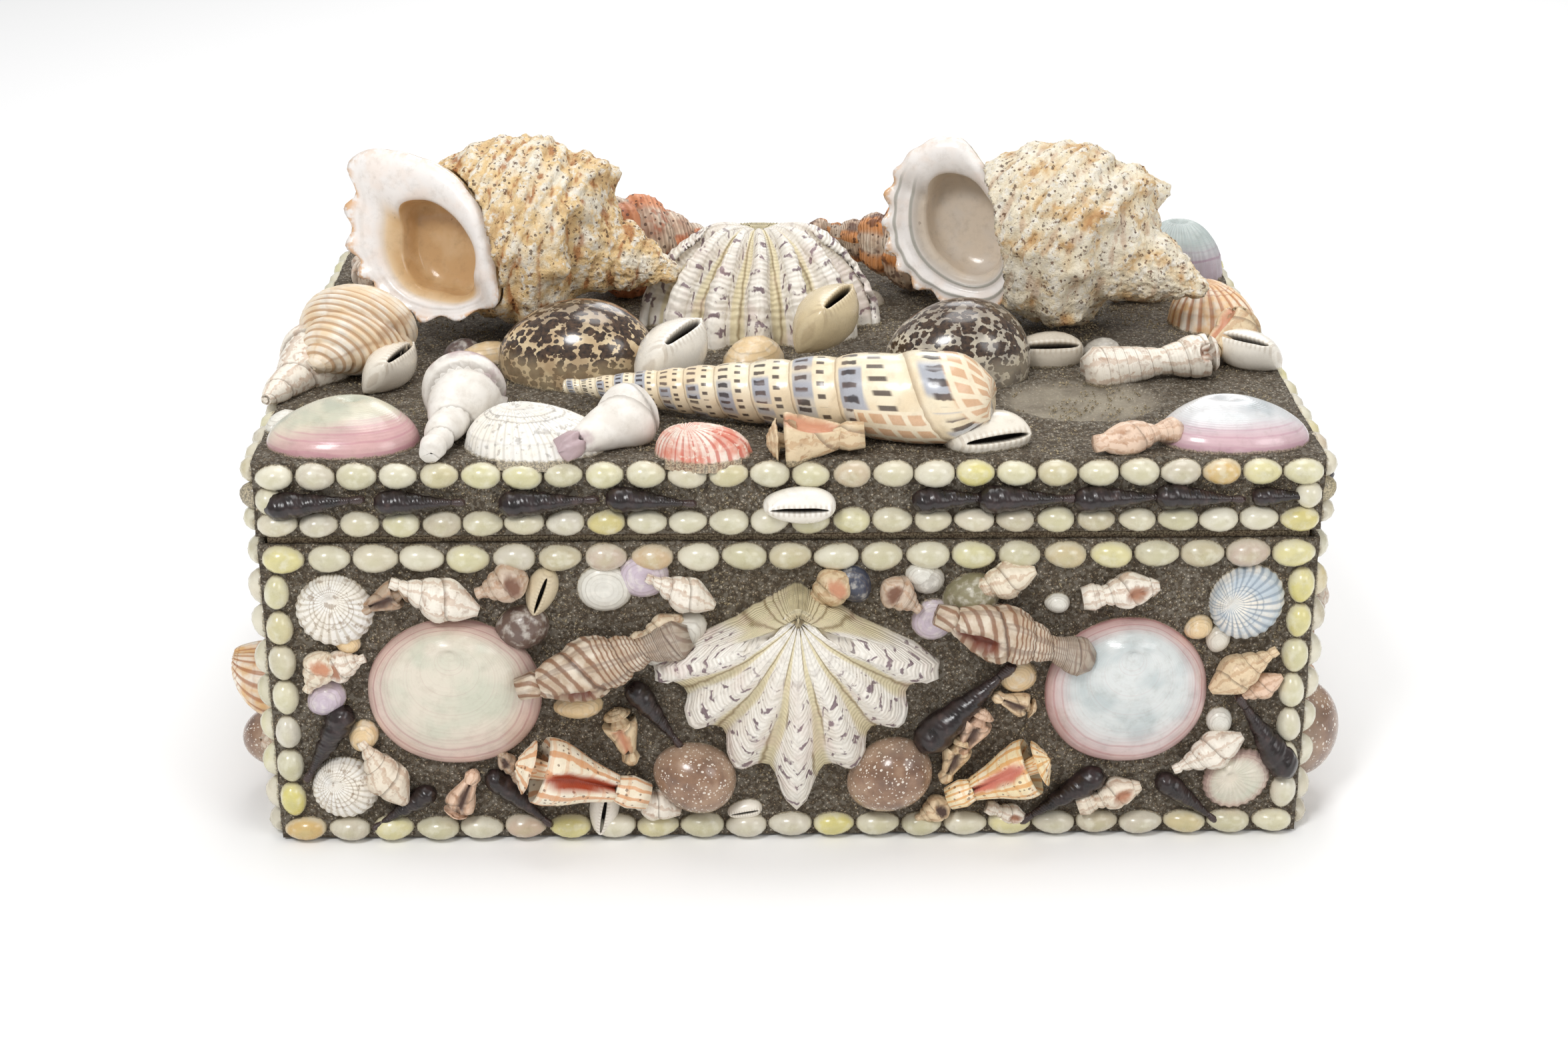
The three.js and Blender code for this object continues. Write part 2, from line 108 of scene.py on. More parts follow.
def take(piece):
    """Makes one object the selected and active one."""
    deselect()
    piece.select_set(True)
    bpy.context.view_layer.objects.active = piece
    return piece


def begin(name):
    """Names the primitive just added and opens it with everything selected."""
    piece = bpy.context.object
    piece.name = name
    piece.data.name = name
    bpy.ops.object.mode_set(mode="EDIT")
    return piece


def open_mesh(piece, action="SELECT"):
    take(piece)
    bpy.ops.object.mode_set(mode="EDIT")
    bpy.ops.mesh.select_all(action=action)


def close_mesh():
    bpy.ops.object.mode_set(mode="OBJECT")


def points(piece):
    """The mesh's vertices, one row each."""
    flat = np.empty(len(piece.data.vertices) * 3, np.float32)
    piece.data.vertices.foreach_get("co", flat)
    return flat.reshape(-1, 3).astype(float)


def set_points(piece, places):
    piece.data.vertices.foreach_set("co", np.asarray(places, np.float32).ravel())
    piece.data.update()


def mark(piece, name, values):
    """Writes a value, or a vector, for each vertex under a name that the materials read."""
    values = np.asarray(values, np.float32)
    kind, key = ("FLOAT", "value") if values.ndim == 1 else ("FLOAT_VECTOR", "vector")
    layer = piece.data.attributes.get(name) or piece.data.attributes.new(name, kind, "POINT")
    layer.data.foreach_set(key, values.ravel())


def read_mark(piece, name):
    values = np.empty(len(piece.data.vertices), np.float32)
    piece.data.attributes[name].data.foreach_get("value", values)
    return values.astype(float)


def apply_all(piece):
    take(piece)
    for modifier in list(piece.modifiers):
        bpy.ops.object.modifier_apply(modifier=modifier.name)
    return piece


def refine(piece, levels=1):
    """Rounds a cage by subdivision."""
    modifier = piece.modifiers.new("Rounding", "SUBSURF")
    modifier.levels = levels
    modifier.render_levels = levels
    return apply_all(piece)


def raise_by(piece, heights):
    """Moves each point along its normal by its own height, raised and sunk parts alike."""
    heights = np.asarray(heights, float)
    low, high = float(heights.min()), float(heights.max())
    if high - low < 1e-9:
        return piece
    group = piece.vertex_groups.new(name="relief")
    for index, share in enumerate((heights - low) / (high - low)):
        group.add((index,), share, "REPLACE")
    sink = piece.modifiers.new("Sink", "DISPLACE")
    sink.strength = low
    sink.mid_level = 0
    lift = piece.modifiers.new("Lift", "DISPLACE")
    lift.strength = high - low
    lift.mid_level = 0
    lift.vertex_group = group.name
    apply_all(piece)
    piece.vertex_groups.clear()
    return piece


def roughen(piece, size, strength, kind="CLOUDS", shift=0.0):
    """Pushes the surface in and out by a cloud or cell pattern of about that size."""
    texture = bpy.data.textures.new("roughness", kind)
    texture.noise_scale = size
    modifier = piece.modifiers.new("Roughness", "DISPLACE")
    modifier.texture = texture
    modifier.strength = strength
    modifier.mid_level = 0.5
    set_points(piece, points(piece) + shift)
    apply_all(piece)
    set_points(piece, points(piece) - shift)
    bpy.data.textures.remove(texture)
    return piece


def smooth(piece, angle=None):
    take(piece)
    bpy.ops.object.shade_smooth()
    if angle:
        bpy.ops.object.shade_smooth_by_angle(angle=math.radians(angle))
    return piece


def outward(piece):
    open_mesh(piece)
    bpy.ops.mesh.remove_doubles(threshold=1e-4)
    bpy.ops.mesh.normals_make_consistent(inside=False)
    close_mesh()
    return piece


def joined(name, pieces):
    """Several objects as one mesh."""
    deselect()
    for piece in pieces:
        piece.select_set(True)
    bpy.context.view_layer.objects.active = pieces[0]
    if len(pieces) > 1:
        bpy.ops.object.join()
    whole = pieces[0]
    whole.name = name
    whole.data.name = name
    return whole


def copy_of(master, matrix, tone=None):
    """A copy with its own mesh, moved by the matrix, with its own place in the range of tones."""
    twin = master.copy()
    twin.data = master.data.copy()
    bpy.context.scene.collection.objects.link(twin)
    twin.data.transform(matrix)
    mark(twin, "tone", np.full(len(twin.data.vertices), random.random() if tone is None else tone))
    return twin


def discard(*pieces):
    for piece in pieces:
        mesh = piece.data
        bpy.data.objects.remove(piece)
        bpy.data.meshes.remove(mesh)


def seat(piece, face, material, nodes=(), fit=None, tone=0.5):
    """Finishes a piece modelled in a face's u, v, w: fits it to a CAD node's place, notes how far
    each point stands out of the mortar, moves it to the box and lets it ride on the body."""
    if fit:
        low, high = span(fit, face)
        low.z -= SINK
        places = points(piece)
        least, most = places.min(0), places.max(0)
        scale = (np.array(high) - np.array(low)) / (most - least)
        set_points(piece, np.array(low) + (places - least) * scale)
    mark(piece, "bed", points(piece)[:, 2])
    if "tone" not in piece.data.attributes:
        mark(piece, "tone", np.full(len(piece.data.vertices), tone))
    piece.data.transform(FACES[face])
    piece.data.update()
    piece.data.materials.clear()
    piece.data.materials.append(material)
    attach(piece, "root")
    if nodes:
        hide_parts(*nodes)
    return piece


# ------------------------------------------------------------------ shells


def along_curve(shares, knots):
    """A smooth line through a few (share, height) knots."""
    at, height = np.array(knots, float).T
    place = np.clip(np.searchsorted(at, shares, side="right") - 1, 0, len(at) - 2)
    slope = np.gradient(height, at)
    step = at[place + 1] - at[place]
    t = (shares - at[place]) / step
    return (
        (1 + 2 * t) * (1 - t) ** 2 * height[place]
        + t * (1 - t) ** 2 * step * slope[place]
        + t**2 * (3 - 2 * t) * height[place + 1]
        + t**2 * (t - 1) * step * slope[place + 1]
    )


def eased(low, high, values):
    """0 below low, 1 above high and a smooth change between them."""
    t = np.clip((np.asarray(values, float) - low) / (high - low), 0, 1)
    return t * t * (3 - 2 * t)


def bump(distance, width):
    return np.exp(-((distance / width) ** 2))


class Spire:
    """A coiled shell along +X from its tip at 0 to its length, with how far round the coil
    each point lies."""

    def __init__(self, name, length, girth, whorls, body_from=0.6, quicken=6, rings=6,
                 body_rings=8, around=20):
        self.length = length
        self.whorls = whorls
        turns = np.linspace(0, whorls, int(whorls * rings) + 1)
        spire_shares = body_from * (quicken ** (turns / whorls) - 1) / (quicken - 1)
        body_shares = np.linspace(body_from, 1, body_rings + 1)[1:]
        shares = np.concatenate((spire_shares, body_shares))
        self.ring_turns = np.concatenate((turns, whorls + 0.98 * np.linspace(0, 1, body_rings + 1)[1:]))
        radii = np.maximum(along_curve(shares, girth), 0.02) * length
        self.piece = self.wind(name, shares * length, radii, around)
        ring = np.arange(len(self.piece.data.vertices)) // around
        ring = np.minimum(ring, len(shares) - 1)
        places = points(self.piece)
        self.share = shares[ring]
        self.radius = radii[ring]
        self.turns = self.ring_turns[ring]
        self.angle = np.arctan2(places[:, 2], places[:, 1]) / TURN
        winding = self.turns - self.angle
        self.whorl = np.floor(winding)
        self.across = winding - self.whorl
        mark(self.piece, "own", places)
        mark(self.piece, "turns", self.turns)
        mark(self.piece, "share", self.share)
        mark(self.piece, "mouth", np.zeros(len(places)))

    @staticmethod
    def wind(name, stations, radii, around):
        """One ring of edges, drawn out along the shell and sized at every station."""
        deselect()
        bpy.ops.mesh.primitive_circle_add(vertices=around, radius=radii[0], fill_type="NGON")
        piece = begin(name)
        bpy.ops.transform.rotate(value=math.pi / 2, orient_axis="Y", center_override=(0, 0, 0))
        bpy.ops.transform.translate(value=(stations[0], 0, 0))
        for i in range(1, len(stations)):
            step = (stations[i] - stations[i - 1], 0, 0)
            bpy.ops.mesh.extrude_region_move(TRANSFORM_OT_translate={"value": step})
            ratio = radii[i] / radii[i - 1]
            bpy.ops.transform.resize(value=(1, ratio, ratio), center_override=(stations[i], 0, 0))
        bpy.ops.mesh.select_all(action="SELECT")
        bpy.ops.mesh.normals_make_consistent(inside=False)
        close_mesh()
        return piece

    def suture(self, depth, roundness):
        """The groove between whorls and the swell of each whorl, as shares of the radius."""
        on_spire = self.whorl < self.whorls
        edge = np.where(on_spire, np.minimum(self.across, 1 - self.across), self.across)
        groove = np.exp(-edge / 0.07)
        swell = np.where(on_spire, 1 - (2 * self.across - 1) ** 2, 1)
        return self.radius * (roundness * (swell - 0.6) - depth * groove)

    def mouth(self, share, angle, half_length, half_angle, lean=0.0):
        """How near each point is to the middle of the mouth: 0 there, 1 on its edge."""
        off = (self.angle - angle + 0.5) % 1 - 0.5
        off = off + lean * (self.share - share)
        return np.hypot((self.share - share) / half_length, off / half_angle)

    def open_mouth(self, near, depth, lip):
        """Sinks the mouth, raises its lip and marks how deep inside each point is."""
        inside = 1 - eased(0.55, 1.0, near)
        rim = bump(near - 1.12, 0.22)
        mark(self.piece, "mouth", 1 - eased(0.8, 1.02, near))
        return lip * rim - depth * inside


def lay(piece, tip, butt, roll=0.0):
    """Turns a shell that runs along +X so that it goes from tip to butt."""
    tip = Vector(tip)
    ahead = (Vector(butt) - tip).normalized()
    side = Vector((0, 0, 1)).cross(ahead).normalized()
    turn = Matrix((ahead, side, ahead.cross(side))).transposed().to_4x4()
    piece.data.transform(Matrix.Translation(tip) @ turn @ Matrix.Rotation(roll, 4, "X"))
    return piece


def fan(name, outline, umbo, rise, rings=14, peak=0.3, fullness=2.2, skirt=4.0, edge=None):
    """Half a bivalve, hollow side down: its outline, drawn in ring by ring towards the umbo.
    outline is a list of points round the rim; the umbo becomes the origin of its pattern."""
    count = len(outline)
    deselect()
    bpy.ops.mesh.primitive_circle_add(vertices=count, radius=1, fill_type="NOTHING")
    piece = begin(name)
    close_mesh()
    set_points(piece, [(x, y, -skirt) for x, y in outline])
    open_mesh(piece)
    bpy.ops.mesh.extrude_region_move(TRANSFORM_OT_translate={"value": (0, 0, skirt)})
    shares = np.linspace(1, 0, rings + 1)[1:] ** 0.9
    shares[-1] = 0.02
    last, height = 1.0, 0.0
    for share in shares:
        level = rise * (1 - share**fullness) ** (edge or 1 / fullness)
        level *= 1 - 0.22 * max(0.0, 1 - share / peak) ** 2
        bpy.ops.mesh.extrude_region_move(TRANSFORM_OT_translate={"value": (0, 0, level - height)})
        ratio = share / last
        bpy.ops.transform.resize(value=(ratio, ratio, 1), center_override=(*umbo, level))
        last, height = share, level
    bpy.ops.mesh.edge_face_add()
    bpy.ops.mesh.select_all(action="SELECT")
    bpy.ops.mesh.normals_make_consistent(inside=False)
    close_mesh()
    places = points(piece)
    ring = np.arange(len(places)) // count
    growth = np.concatenate(([1, 1], shares))[ring]
    own = places - np.array((*umbo, 0))
    mark(piece, "own", own)
    mark(piece, "grow", growth)
    mark(piece, "ray", np.arctan2(own[:, 0], -own[:, 1]))
    return piece


def oval(half_x, half_y, count=48, squareness=2.0, point=0.0):
    """An outline: an oval, squarer or pointed towards +y as asked."""
    rim = []
    for i in range(count):
        angle = TURN * i / count
        c, s = math.cos(angle), math.sin(angle)
        x = math.copysign(abs(c) ** (2 / squareness), c) * half_x
        y = math.copysign(abs(s) ** (2 / squareness), s) * half_y
        rim.append((x * (1 - point * max(0.0, s) ** 2), y))
    return rim


def cowrie(name, half_length, half_width, height, around=16, rings=10, bulge=0.1):
    """An egg-backed cowrie, flat side down, with its long axis on X."""
    deselect()
    bpy.ops.mesh.primitive_uv_sphere_add(segments=around, ring_count=rings, radius=1)
    piece = begin(name)
    bpy.ops.transform.rotate(value=math.pi / 2, orient_axis="Y", center_override=(0, 0, 0))
    bpy.ops.mesh.bisect(plane_co=(0, 0, -0.28), plane_no=(0, 0, 1), use_fill=False, clear_inner=True)
    bpy.ops.mesh.select_all(action="SELECT")
    scale = (half_length, half_width, height)
    bpy.ops.transform.resize(value=scale, center_override=(0, 0, 0))
    bpy.ops.mesh.normals_make_consistent(inside=False)
    close_mesh()
    places = points(piece)
    share = places[:, 0] / half_length
    places[:, 1] *= 1 + bulge * share
    places[:, 2] *= 1 + 0.12 * share - 0.05 * share**2
    set_points(piece, places)
    own = places / np.array(scale)
    mark(piece, "own", own)
    mark(piece, "grow", np.clip(np.hypot(own[:, 0], own[:, 1]), 0, 1.2))
    return piece


def slit_cowrie(name, half_length, half_width, height, around=28, bend=0.0):
    """A cowrie that shows its mouth: a toothed slit along a rounded back, long axis on X."""
    stages = []  # shares of the length, the width and the height
    for degrees in (-72, -50, -25, 0, 22, 42, 58, 70, 79):
        c, s = math.cos(math.radians(degrees)), math.sin(math.radians(degrees))
        stages.append((0.78 + 0.22 * c, c, s))
    stages += [(0.8, 0.15, 0.96), (0.77, 0.11, 0.82), (0.74, 0.1, 0.5), (0.6, 0.02, 0.3)]
    deselect()
    bpy.ops.mesh.primitive_circle_add(vertices=around, radius=1, fill_type="NOTHING")
    piece = begin(name)
    size = (half_length, half_width, height)
    length, width, level = stages[0]
    bpy.ops.transform.resize(value=(length * size[0], width * size[1], 1), center_override=(0, 0, 0))
    bpy.ops.transform.translate(value=(0, 0, level * size[2]))
    for before, after in zip(stages, stages[1:]):
        lift = (after[2] - before[2]) * height
        bpy.ops.mesh.extrude_region_move(TRANSFORM_OT_translate={"value": (0, 0, lift)})
        ratio = (after[0] / before[0], after[1] / before[1], 1)
        bpy.ops.transform.resize(value=ratio, center_override=(0, 0, after[2] * height))
    bpy.ops.mesh.edge_face_add()
    bpy.ops.mesh.select_all(action="SELECT")
    bpy.ops.mesh.normals_make_consistent(inside=False)
    close_mesh()
    places = points(piece)
    ring = np.arange(len(places)) // around
    share = places[:, 0] / half_length
    places[:, 2] += np.where(np.isin(ring, (8, 9)), 0.045 * np.cos(share * 30), 0) * height
    places[:, 1] *= 1 + 0.14 * share
    places[:, 1] += bend * half_width * (share**2 - 0.4) * (ring > 5)
    set_points(piece, places)
    mark(piece, "own", places / np.array(size))
    mark(piece, "grow", np.clip(1.1 - (ring - 2) / 9, 0, 1))
    # The inner rings of the slit, which the slit finish paints near black as painted shade.
    mark(piece, "mouth", eased(9.4, 10.4, ring))
    return piece


def round_outline(outline, count):
    """Radii all the way round, smoothly through a list of (degrees, radius) points."""
    knots = [(degrees + turn, radius) for turn in (-360, 0, 360) for degrees, radius in outline]
    return along_curve(np.linspace(0, 360, count, endpoint=False), knots)


OUTER_LIP = ((0.4, -40), (0.62, -31), (0.8, -21), (0.91, -12), (0.975, -5.5), (1.0, -1.5))
THROAT = ((0.99, 0.12), (0.975, 0.35), (0.95, 0.68), (0.88, 0.9), (0.65, 0.98), (0.1, 1.0))
THROAT_FLOOR = -25  # how deep the throat goes, mm


def mouth_funnel(name, lip, throat, throat_at, folds, count=112, teeth=17):
    """The flared mouth of a frog shell, facing +Z: a thick glossy roll on its upper side, a
    toothed lip that slopes into the throat on its free side. lip and throat are outlines, and
    folds a list of (place, height, width) ridges between them."""
    angles = np.linspace(0, TURN, count, endpoint=False)
    ray = np.stack((np.cos(angles), np.sin(angles)), 1)
    lip_edge = ray * round_outline(lip, count)[:, None]
    throat_edge = np.array(throat_at) + ray * round_outline(throat, count)[:, None]
    roll = eased(-0.3, 0.25, np.cos(angles - math.radians(52)))
    rows = [(lip_edge * share, np.full(count, float(depth)), 0, 0) for share, depth in OUTER_LIP]
    for share in np.linspace(0, 1, 15):
        thick = 5.5 * np.sin(math.pi * share**0.8) ** 0.7
        slope = -9 * share**1.5 + sum(h * bump(share - at, w) for at, h, w in folds)
        rows.append((lip_edge + (throat_edge - lip_edge) * share, roll * thick + (1 - roll) * slope,
                     1, share))
    brink = rows[-1][1]
    for share, drop in THROAT:
        inner = np.array(throat_at) + (throat_edge - throat_at) * share
        rows.append((inner, brink + (THROAT_FLOOR - brink) * drop, 1, 1 + drop))
    deselect()
    bpy.ops.mesh.primitive_circle_add(vertices=count, radius=1, fill_type="NOTHING")
    piece = begin(name)
    for _ in rows[1:]:
        bpy.ops.mesh.extrude_region_move(TRANSFORM_OT_translate={"value": (0, 0, -1)})
    bpy.ops.mesh.edge_face_add()
    close_mesh()
    wave = np.cos(angles * teeth + 1.3 * np.sin(3 * angles)) * (1 - 0.8 * roll)
    places = []
    for index, (flat, depth, _, _) in enumerate(rows):
        near = math.exp(-abs(index - len(OUTER_LIP)) / 2.2)
        flat = flat * (1 + 0.045 * wave * near)[:, None]
        places.append(np.column_stack((flat, depth + 1.9 * wave * near)))
    set_points(piece, np.concatenate(places))
    mark(piece, "mouth", np.repeat([row[2] for row in rows], count))
    mark(piece, "depth", np.repeat([row[3] for row in rows], count))
    mark(piece, "fold", np.tile(roll, len(rows)))
    mark(piece, "own", np.concatenate(places))
    return piece


# ------------------------------------------------------------------ shader helpers


def colour(code):
    """A shader colour from its six-digit code as seen on paper."""
    parts = [int(code[i : i + 2], 16) / 255 for i in (0, 2, 4)]
    return (*(c / 12.92 if c <= 0.04045 else ((c + 0.055) / 1.055) ** 2.4 for c in parts), 1)


class Bench:
    """Lays out the nodes of one material or one group."""

    def __init__(self, tree):
        self.tree = tree

    def node(self, kind, **settings):
        made = self.tree.nodes.new("ShaderNode" + kind)
        for key, value in settings.items():
            setattr(made, key, value)
        return made

    def feed(self, socket, value):
        if isinstance(value, Wire):
            self.tree.links.new(value.socket, socket)
        elif value is not None:
            socket.default_value = value

    def math(self, operation, *values, clamp=False):
        made = self.node("Math", operation=operation, use_clamp=clamp)
        for socket, value in zip(made.inputs, values):
            self.feed(socket, value)
        return Wire(self, made.outputs[0])

    def mix(self, share, under, over, blend="MIX"):
        """The colour over laid on under by the share."""
        made = self.node("Mix", data_type="RGBA", blend_type=blend)
        self.feed(made.inputs[0], share)
        self.feed(made.inputs[6], colour(under) if isinstance(under, str) else under)
        self.feed(made.inputs[7], colour(over) if isinstance(over, str) else over)
        return Wire(self, made.outputs[2])

    def steps(self, value, *stops):
        """A run of colours, each a (place, code) pair."""
        made = self.node("ValToRGB")
        elements = made.color_ramp.elements
        while len(elements) < len(stops):
            elements.new(0.5)
        for element, (place, code) in zip(elements, stops):
            element.position = place
            element.color = colour(code)
        self.feed(made.inputs[0], value)
        return Wire(self, made.outputs[0])

    def read(self, name, output="Fac"):
        made = self.node("Attribute", attribute_name=name)
        return Wire(self, made.outputs[output])

    def place(self):
        """Object coordinates in millimetres."""
        made = self.node("TexCoord")
        return self.vector("SCALE", Wire(self, made.outputs["Object"]), scale=1 / MM)

    def vector(self, operation, first, second=None, scale=None):
        made = self.node("VectorMath", operation=operation)
        self.feed(made.inputs[0], first)
        self.feed(made.inputs[1], second)
        if scale is not None:
            self.feed(made.inputs["Scale"], scale)
        return Wire(self, made.outputs[0])

    def axes(self, vector):
        made = self.node("SeparateXYZ")
        self.feed(made.inputs[0], vector)
        return [Wire(self, output) for output in made.outputs]

    def join(self, x=0.0, y=0.0, z=0.0):
        made = self.node("CombineXYZ")
        for socket, value in zip(made.inputs, (x, y, z)):
            self.feed(socket, value)
        return Wire(self, made.outputs[0])

    def noise(self, vector, size, detail=2.0, roughness=0.55, warp=0.0):
        """A soft pattern with features of about size millimetres."""
        made = self.node("TexNoise")
        self.feed(made.inputs["Vector"], vector)
        self.feed(made.inputs["Scale"], 1 / size)
        self.feed(made.inputs["Detail"], detail)
        self.feed(made.inputs["Roughness"], roughness)
        self.feed(made.inputs["Distortion"], warp)
        return Wire(self, made.outputs["Fac"])

    def cells(self, vector, size, feature="F1", spread=1.0, output="Distance"):
        made = self.node("TexVoronoi", feature=feature)
        self.feed(made.inputs["Vector"], vector)
        self.feed(made.inputs["Scale"], 1 / size)
        self.feed(made.inputs["Randomness"], spread)
        return Wire(self, made.outputs[output])

    def group(self, tree, **values):
        made = self.node("Group")
        made.node_tree = tree
        for key, value in values.items():
            self.feed(made.inputs[key], value)
        return {output.name: Wire(self, output) for output in made.outputs}


class Wire:
    """A shader value that is worked with as a number."""

    def __init__(self, bench, socket):
        self.bench = bench
        self.socket = socket

    def __add__(self, other):
        return self.bench.math("ADD", self, other)

    def __sub__(self, other):
        return self.bench.math("SUBTRACT", self, other)

    def __rsub__(self, other):
        return self.bench.math("SUBTRACT", other, self)

    def __mul__(self, other):
        return self.bench.math("MULTIPLY", self, other)

    def __truediv__(self, other):
        return self.bench.math("DIVIDE", self, other)

    __radd__ = __add__
    __rmul__ = __mul__

    def fract(self):
        return self.bench.math("FRACT", self)

    def floor(self):
        return self.bench.math("FLOOR", self)

    def size(self):
        return self.bench.math("ABSOLUTE", self)

    def wave(self):
        """1 at whole numbers, 0 half-way between."""
        return self.bench.math("COSINE", self * TURN) * 0.5 + 0.5

    def power(self, exponent):
        return self.bench.math("POWER", self, exponent)

    def most(self, other):
        return self.bench.math("MAXIMUM", self, other)

    def least(self, other):
        return self.bench.math("MINIMUM", self, other)

    def ease(self, low, high):
        """0 at low and 1 at high, low above high too, with a smooth change."""
        made = self.bench.node("MapRange", interpolation_type="SMOOTHSTEP")
        flip = low > high
        self.bench.feed(made.inputs[0], self)
        for socket, value in zip(list(made.inputs)[1:5], (min(low, high), max(low, high), flip, not flip)):
            socket.default_value = float(value)
        return Wire(self.bench, made.outputs[0])


def new_group(name, inputs, outputs):
    """An empty node group with named sockets, its bench, and its inputs by name."""
    tree = bpy.data.node_groups.new(name, "ShaderNodeTree")
    for key, value in inputs.items():
        kind = "NodeSocketFloat" if isinstance(value, float) else "NodeSocketVector"
        socket = tree.interface.new_socket(key, in_out="INPUT", socket_type=kind)
        if isinstance(value, float):
            socket.default_value = value
    for key in outputs:
        tree.interface.new_socket(key, in_out="OUTPUT", socket_type="NodeSocketFloat")
    bench = Bench(tree)
    given = tree.nodes.new("NodeGroupInput")
    return tree, bench, {key: Wire(bench, given.outputs[key]) for key in inputs}


def close_group(bench, **results):
    out = bench.tree.nodes.new("NodeGroupOutput")
    for key, value in results.items():
        bench.feed(out.inputs[key], value)


def bedding_group():
    """Sand and dust that cling to a shell close to the mortar."""
    tree, b, given = new_group("bedding", {"Reach": 2.0}, ("Mask",))
    height = b.read("bed")
    ragged = b.noise(b.place(), 2.2, detail=3.0)
    edge = height / given["Reach"] + (ragged - 0.5) * 1.6
    close_group(b, Mask=edge.ease(0.9, 0.2))
    return tree


def whorl_group():
    """Where a point lies on a coiled shell: across its whorl, round the coil, and which whorl."""
    tree, b, _ = new_group("whorl", {}, ("Across", "Around", "Whorl"))
    _, y, z = b.axes(b.read("own", "Vector"))
    around = b.math("ARCTAN2", z, y) / TURN
    winding = b.read("turns") - around
    close_group(b, Across=winding.fract(), Around=around, Whorl=winding.floor())
    return tree


def speckle_group():
    """Scattered spots: cells of the given size, of which the share given are filled in."""
    inputs = {"Vector": None, "Size": 3.0, "Share": 0.5, "Spot": 0.3}
    tree, b, given = new_group("speckle", inputs, ("Mask",))
    made = b.node("TexVoronoi")
    b.feed(made.inputs["Vector"], given["Vector"])
    b.feed(made.inputs["Scale"], b.math("DIVIDE", 1.0, given["Size"]))
    pick, grow, _ = b.axes(Wire(b, made.outputs["Color"]))
    chosen = b.math("LESS_THAN", pick, given["Share"])
    ragged = b.noise(given["Vector"], 1.1, detail=2.0)
    distance = Wire(b, made.outputs["Distance"]) + (ragged - 0.5) * 0.3
    spot = b.math("LESS_THAN", distance, given["Spot"] * (grow * 0.7 + 0.6))
    close_group(b, Mask=chosen * spot)
    return tree


def growth_group():
    """Fine growth lines along a value, wavering a little, as a height from 0 to 1."""
    inputs = {"Value": 0.0, "Lines": 20.0, "Waver": 0.5}
    tree, b, given = new_group("growth_lines", inputs, ("Height", "Line"))
    waver = (b.noise(b.place(), 9.0, detail=2.0) - 0.5) * given["Waver"]
    phase = given["Value"] * given["Lines"] + waver
    height = phase.wave()
    uneven = b.noise(b.join(phase * 0.37, 0.0, 0.0), 1.0, detail=1.0)
    close_group(b, Height=height, Line=height.power(6.0) * uneven.ease(0.45, 0.6))
    return tree


BEDDING = bedding_group()
WHORL = whorl_group()
SPECKLE = speckle_group()
GROWTH = growth_group()


def shell_finish(name, recipe, gloss=0.35, coat=0.0, soil="6a604e", reach=1.8, relief=0.35):
    """A shell's material. The recipe lays out its colour, how rough it is beyond the gloss and
    its fine height in millimetres, and sand is laid over that where the shell is bedded."""
    material = bpy.data.materials.new(name)
    material.use_nodes = True
    b = Bench(material.node_tree)
    principled = b.tree.nodes["Principled BSDF"]
    shade, rough, height = recipe(b)
    grime = b.noise(b.place(), 5.0, detail=4.0, roughness=0.7)
    shade = b.mix(grime.ease(0.45, 0.8) * 0.22, shade, "8d8069", "MULTIPLY")
    bed = b.group(BEDDING, Reach=reach)["Mask"]
    sand = b.noise(b.place(), 0.8, detail=2.0)
    shade = b.mix(bed * 0.85, shade, b.mix(sand.ease(0.4, 0.6), soil, "b5a689"))
    b.feed(principled.inputs["Base Color"], shade)
    worn = grime * 0.25 + (gloss - 0.12)
    b.feed(principled.inputs["Roughness"], (worn + rough if rough is not None else worn) + bed * 0.4)
    principled.inputs["Coat Weight"].default_value = coat
    principled.inputs["Coat Roughness"].default_value = 0.12
    principled.inputs["Specular IOR Level"].default_value = 0.45
    fine = b.noise(b.place(), 0.9, detail=2.0) * 0.05 + bed * sand * 0.5
    raised = b.node("Bump")
    raised.inputs["Strength"].default_value = relief
    raised.inputs["Distance"].default_value = MM
    b.feed(raised.inputs["Height"], height + fine if height is not None else fine)
    b.tree.links.new(raised.outputs["Normal"], principled.inputs["Normal"])
    return material


# ------------------------------------------------------------------ finishes


def money_cowrie(b):
    tone = b.read("tone")
    grow = b.read("grow")
    tint = b.steps(
        tone, (0.0, "d9d0bb"), (0.2, "c6c0a0"), (0.38, "ddd7c4"), (0.52, "d3cda2"), (0.64, "d0c9b9"),
        (0.74, "bfb49b"), (0.82, "dcd4a2"), (0.9, "d8cd7c"), (0.95, "c4b1a4"), (1.0, "d6b264"),
    )
    crown = b.mix(grow.ease(0.75, 0.1) * 0.4, tint, "b0ab80")
    cloud = b.noise(b.place(), 6.0, detail=3.0)
    crown = b.mix(cloud.ease(0.45, 0.7) * 0.45, crown, "e6e3d2")
    rim = b.mix(grow.ease(0.72, 1.02) * 0.55, crown, "ded8c6")
    x, _, _ = b.axes(b.read("own", "Vector"))
    # Painted shade: both ends are darkened, where the notches at a cowrie's ends lie in shade.
    tip = x.size().ease(0.86, 1.0)
    return b.mix(tip * 0.55, rim, "7a6c4d"), None, None


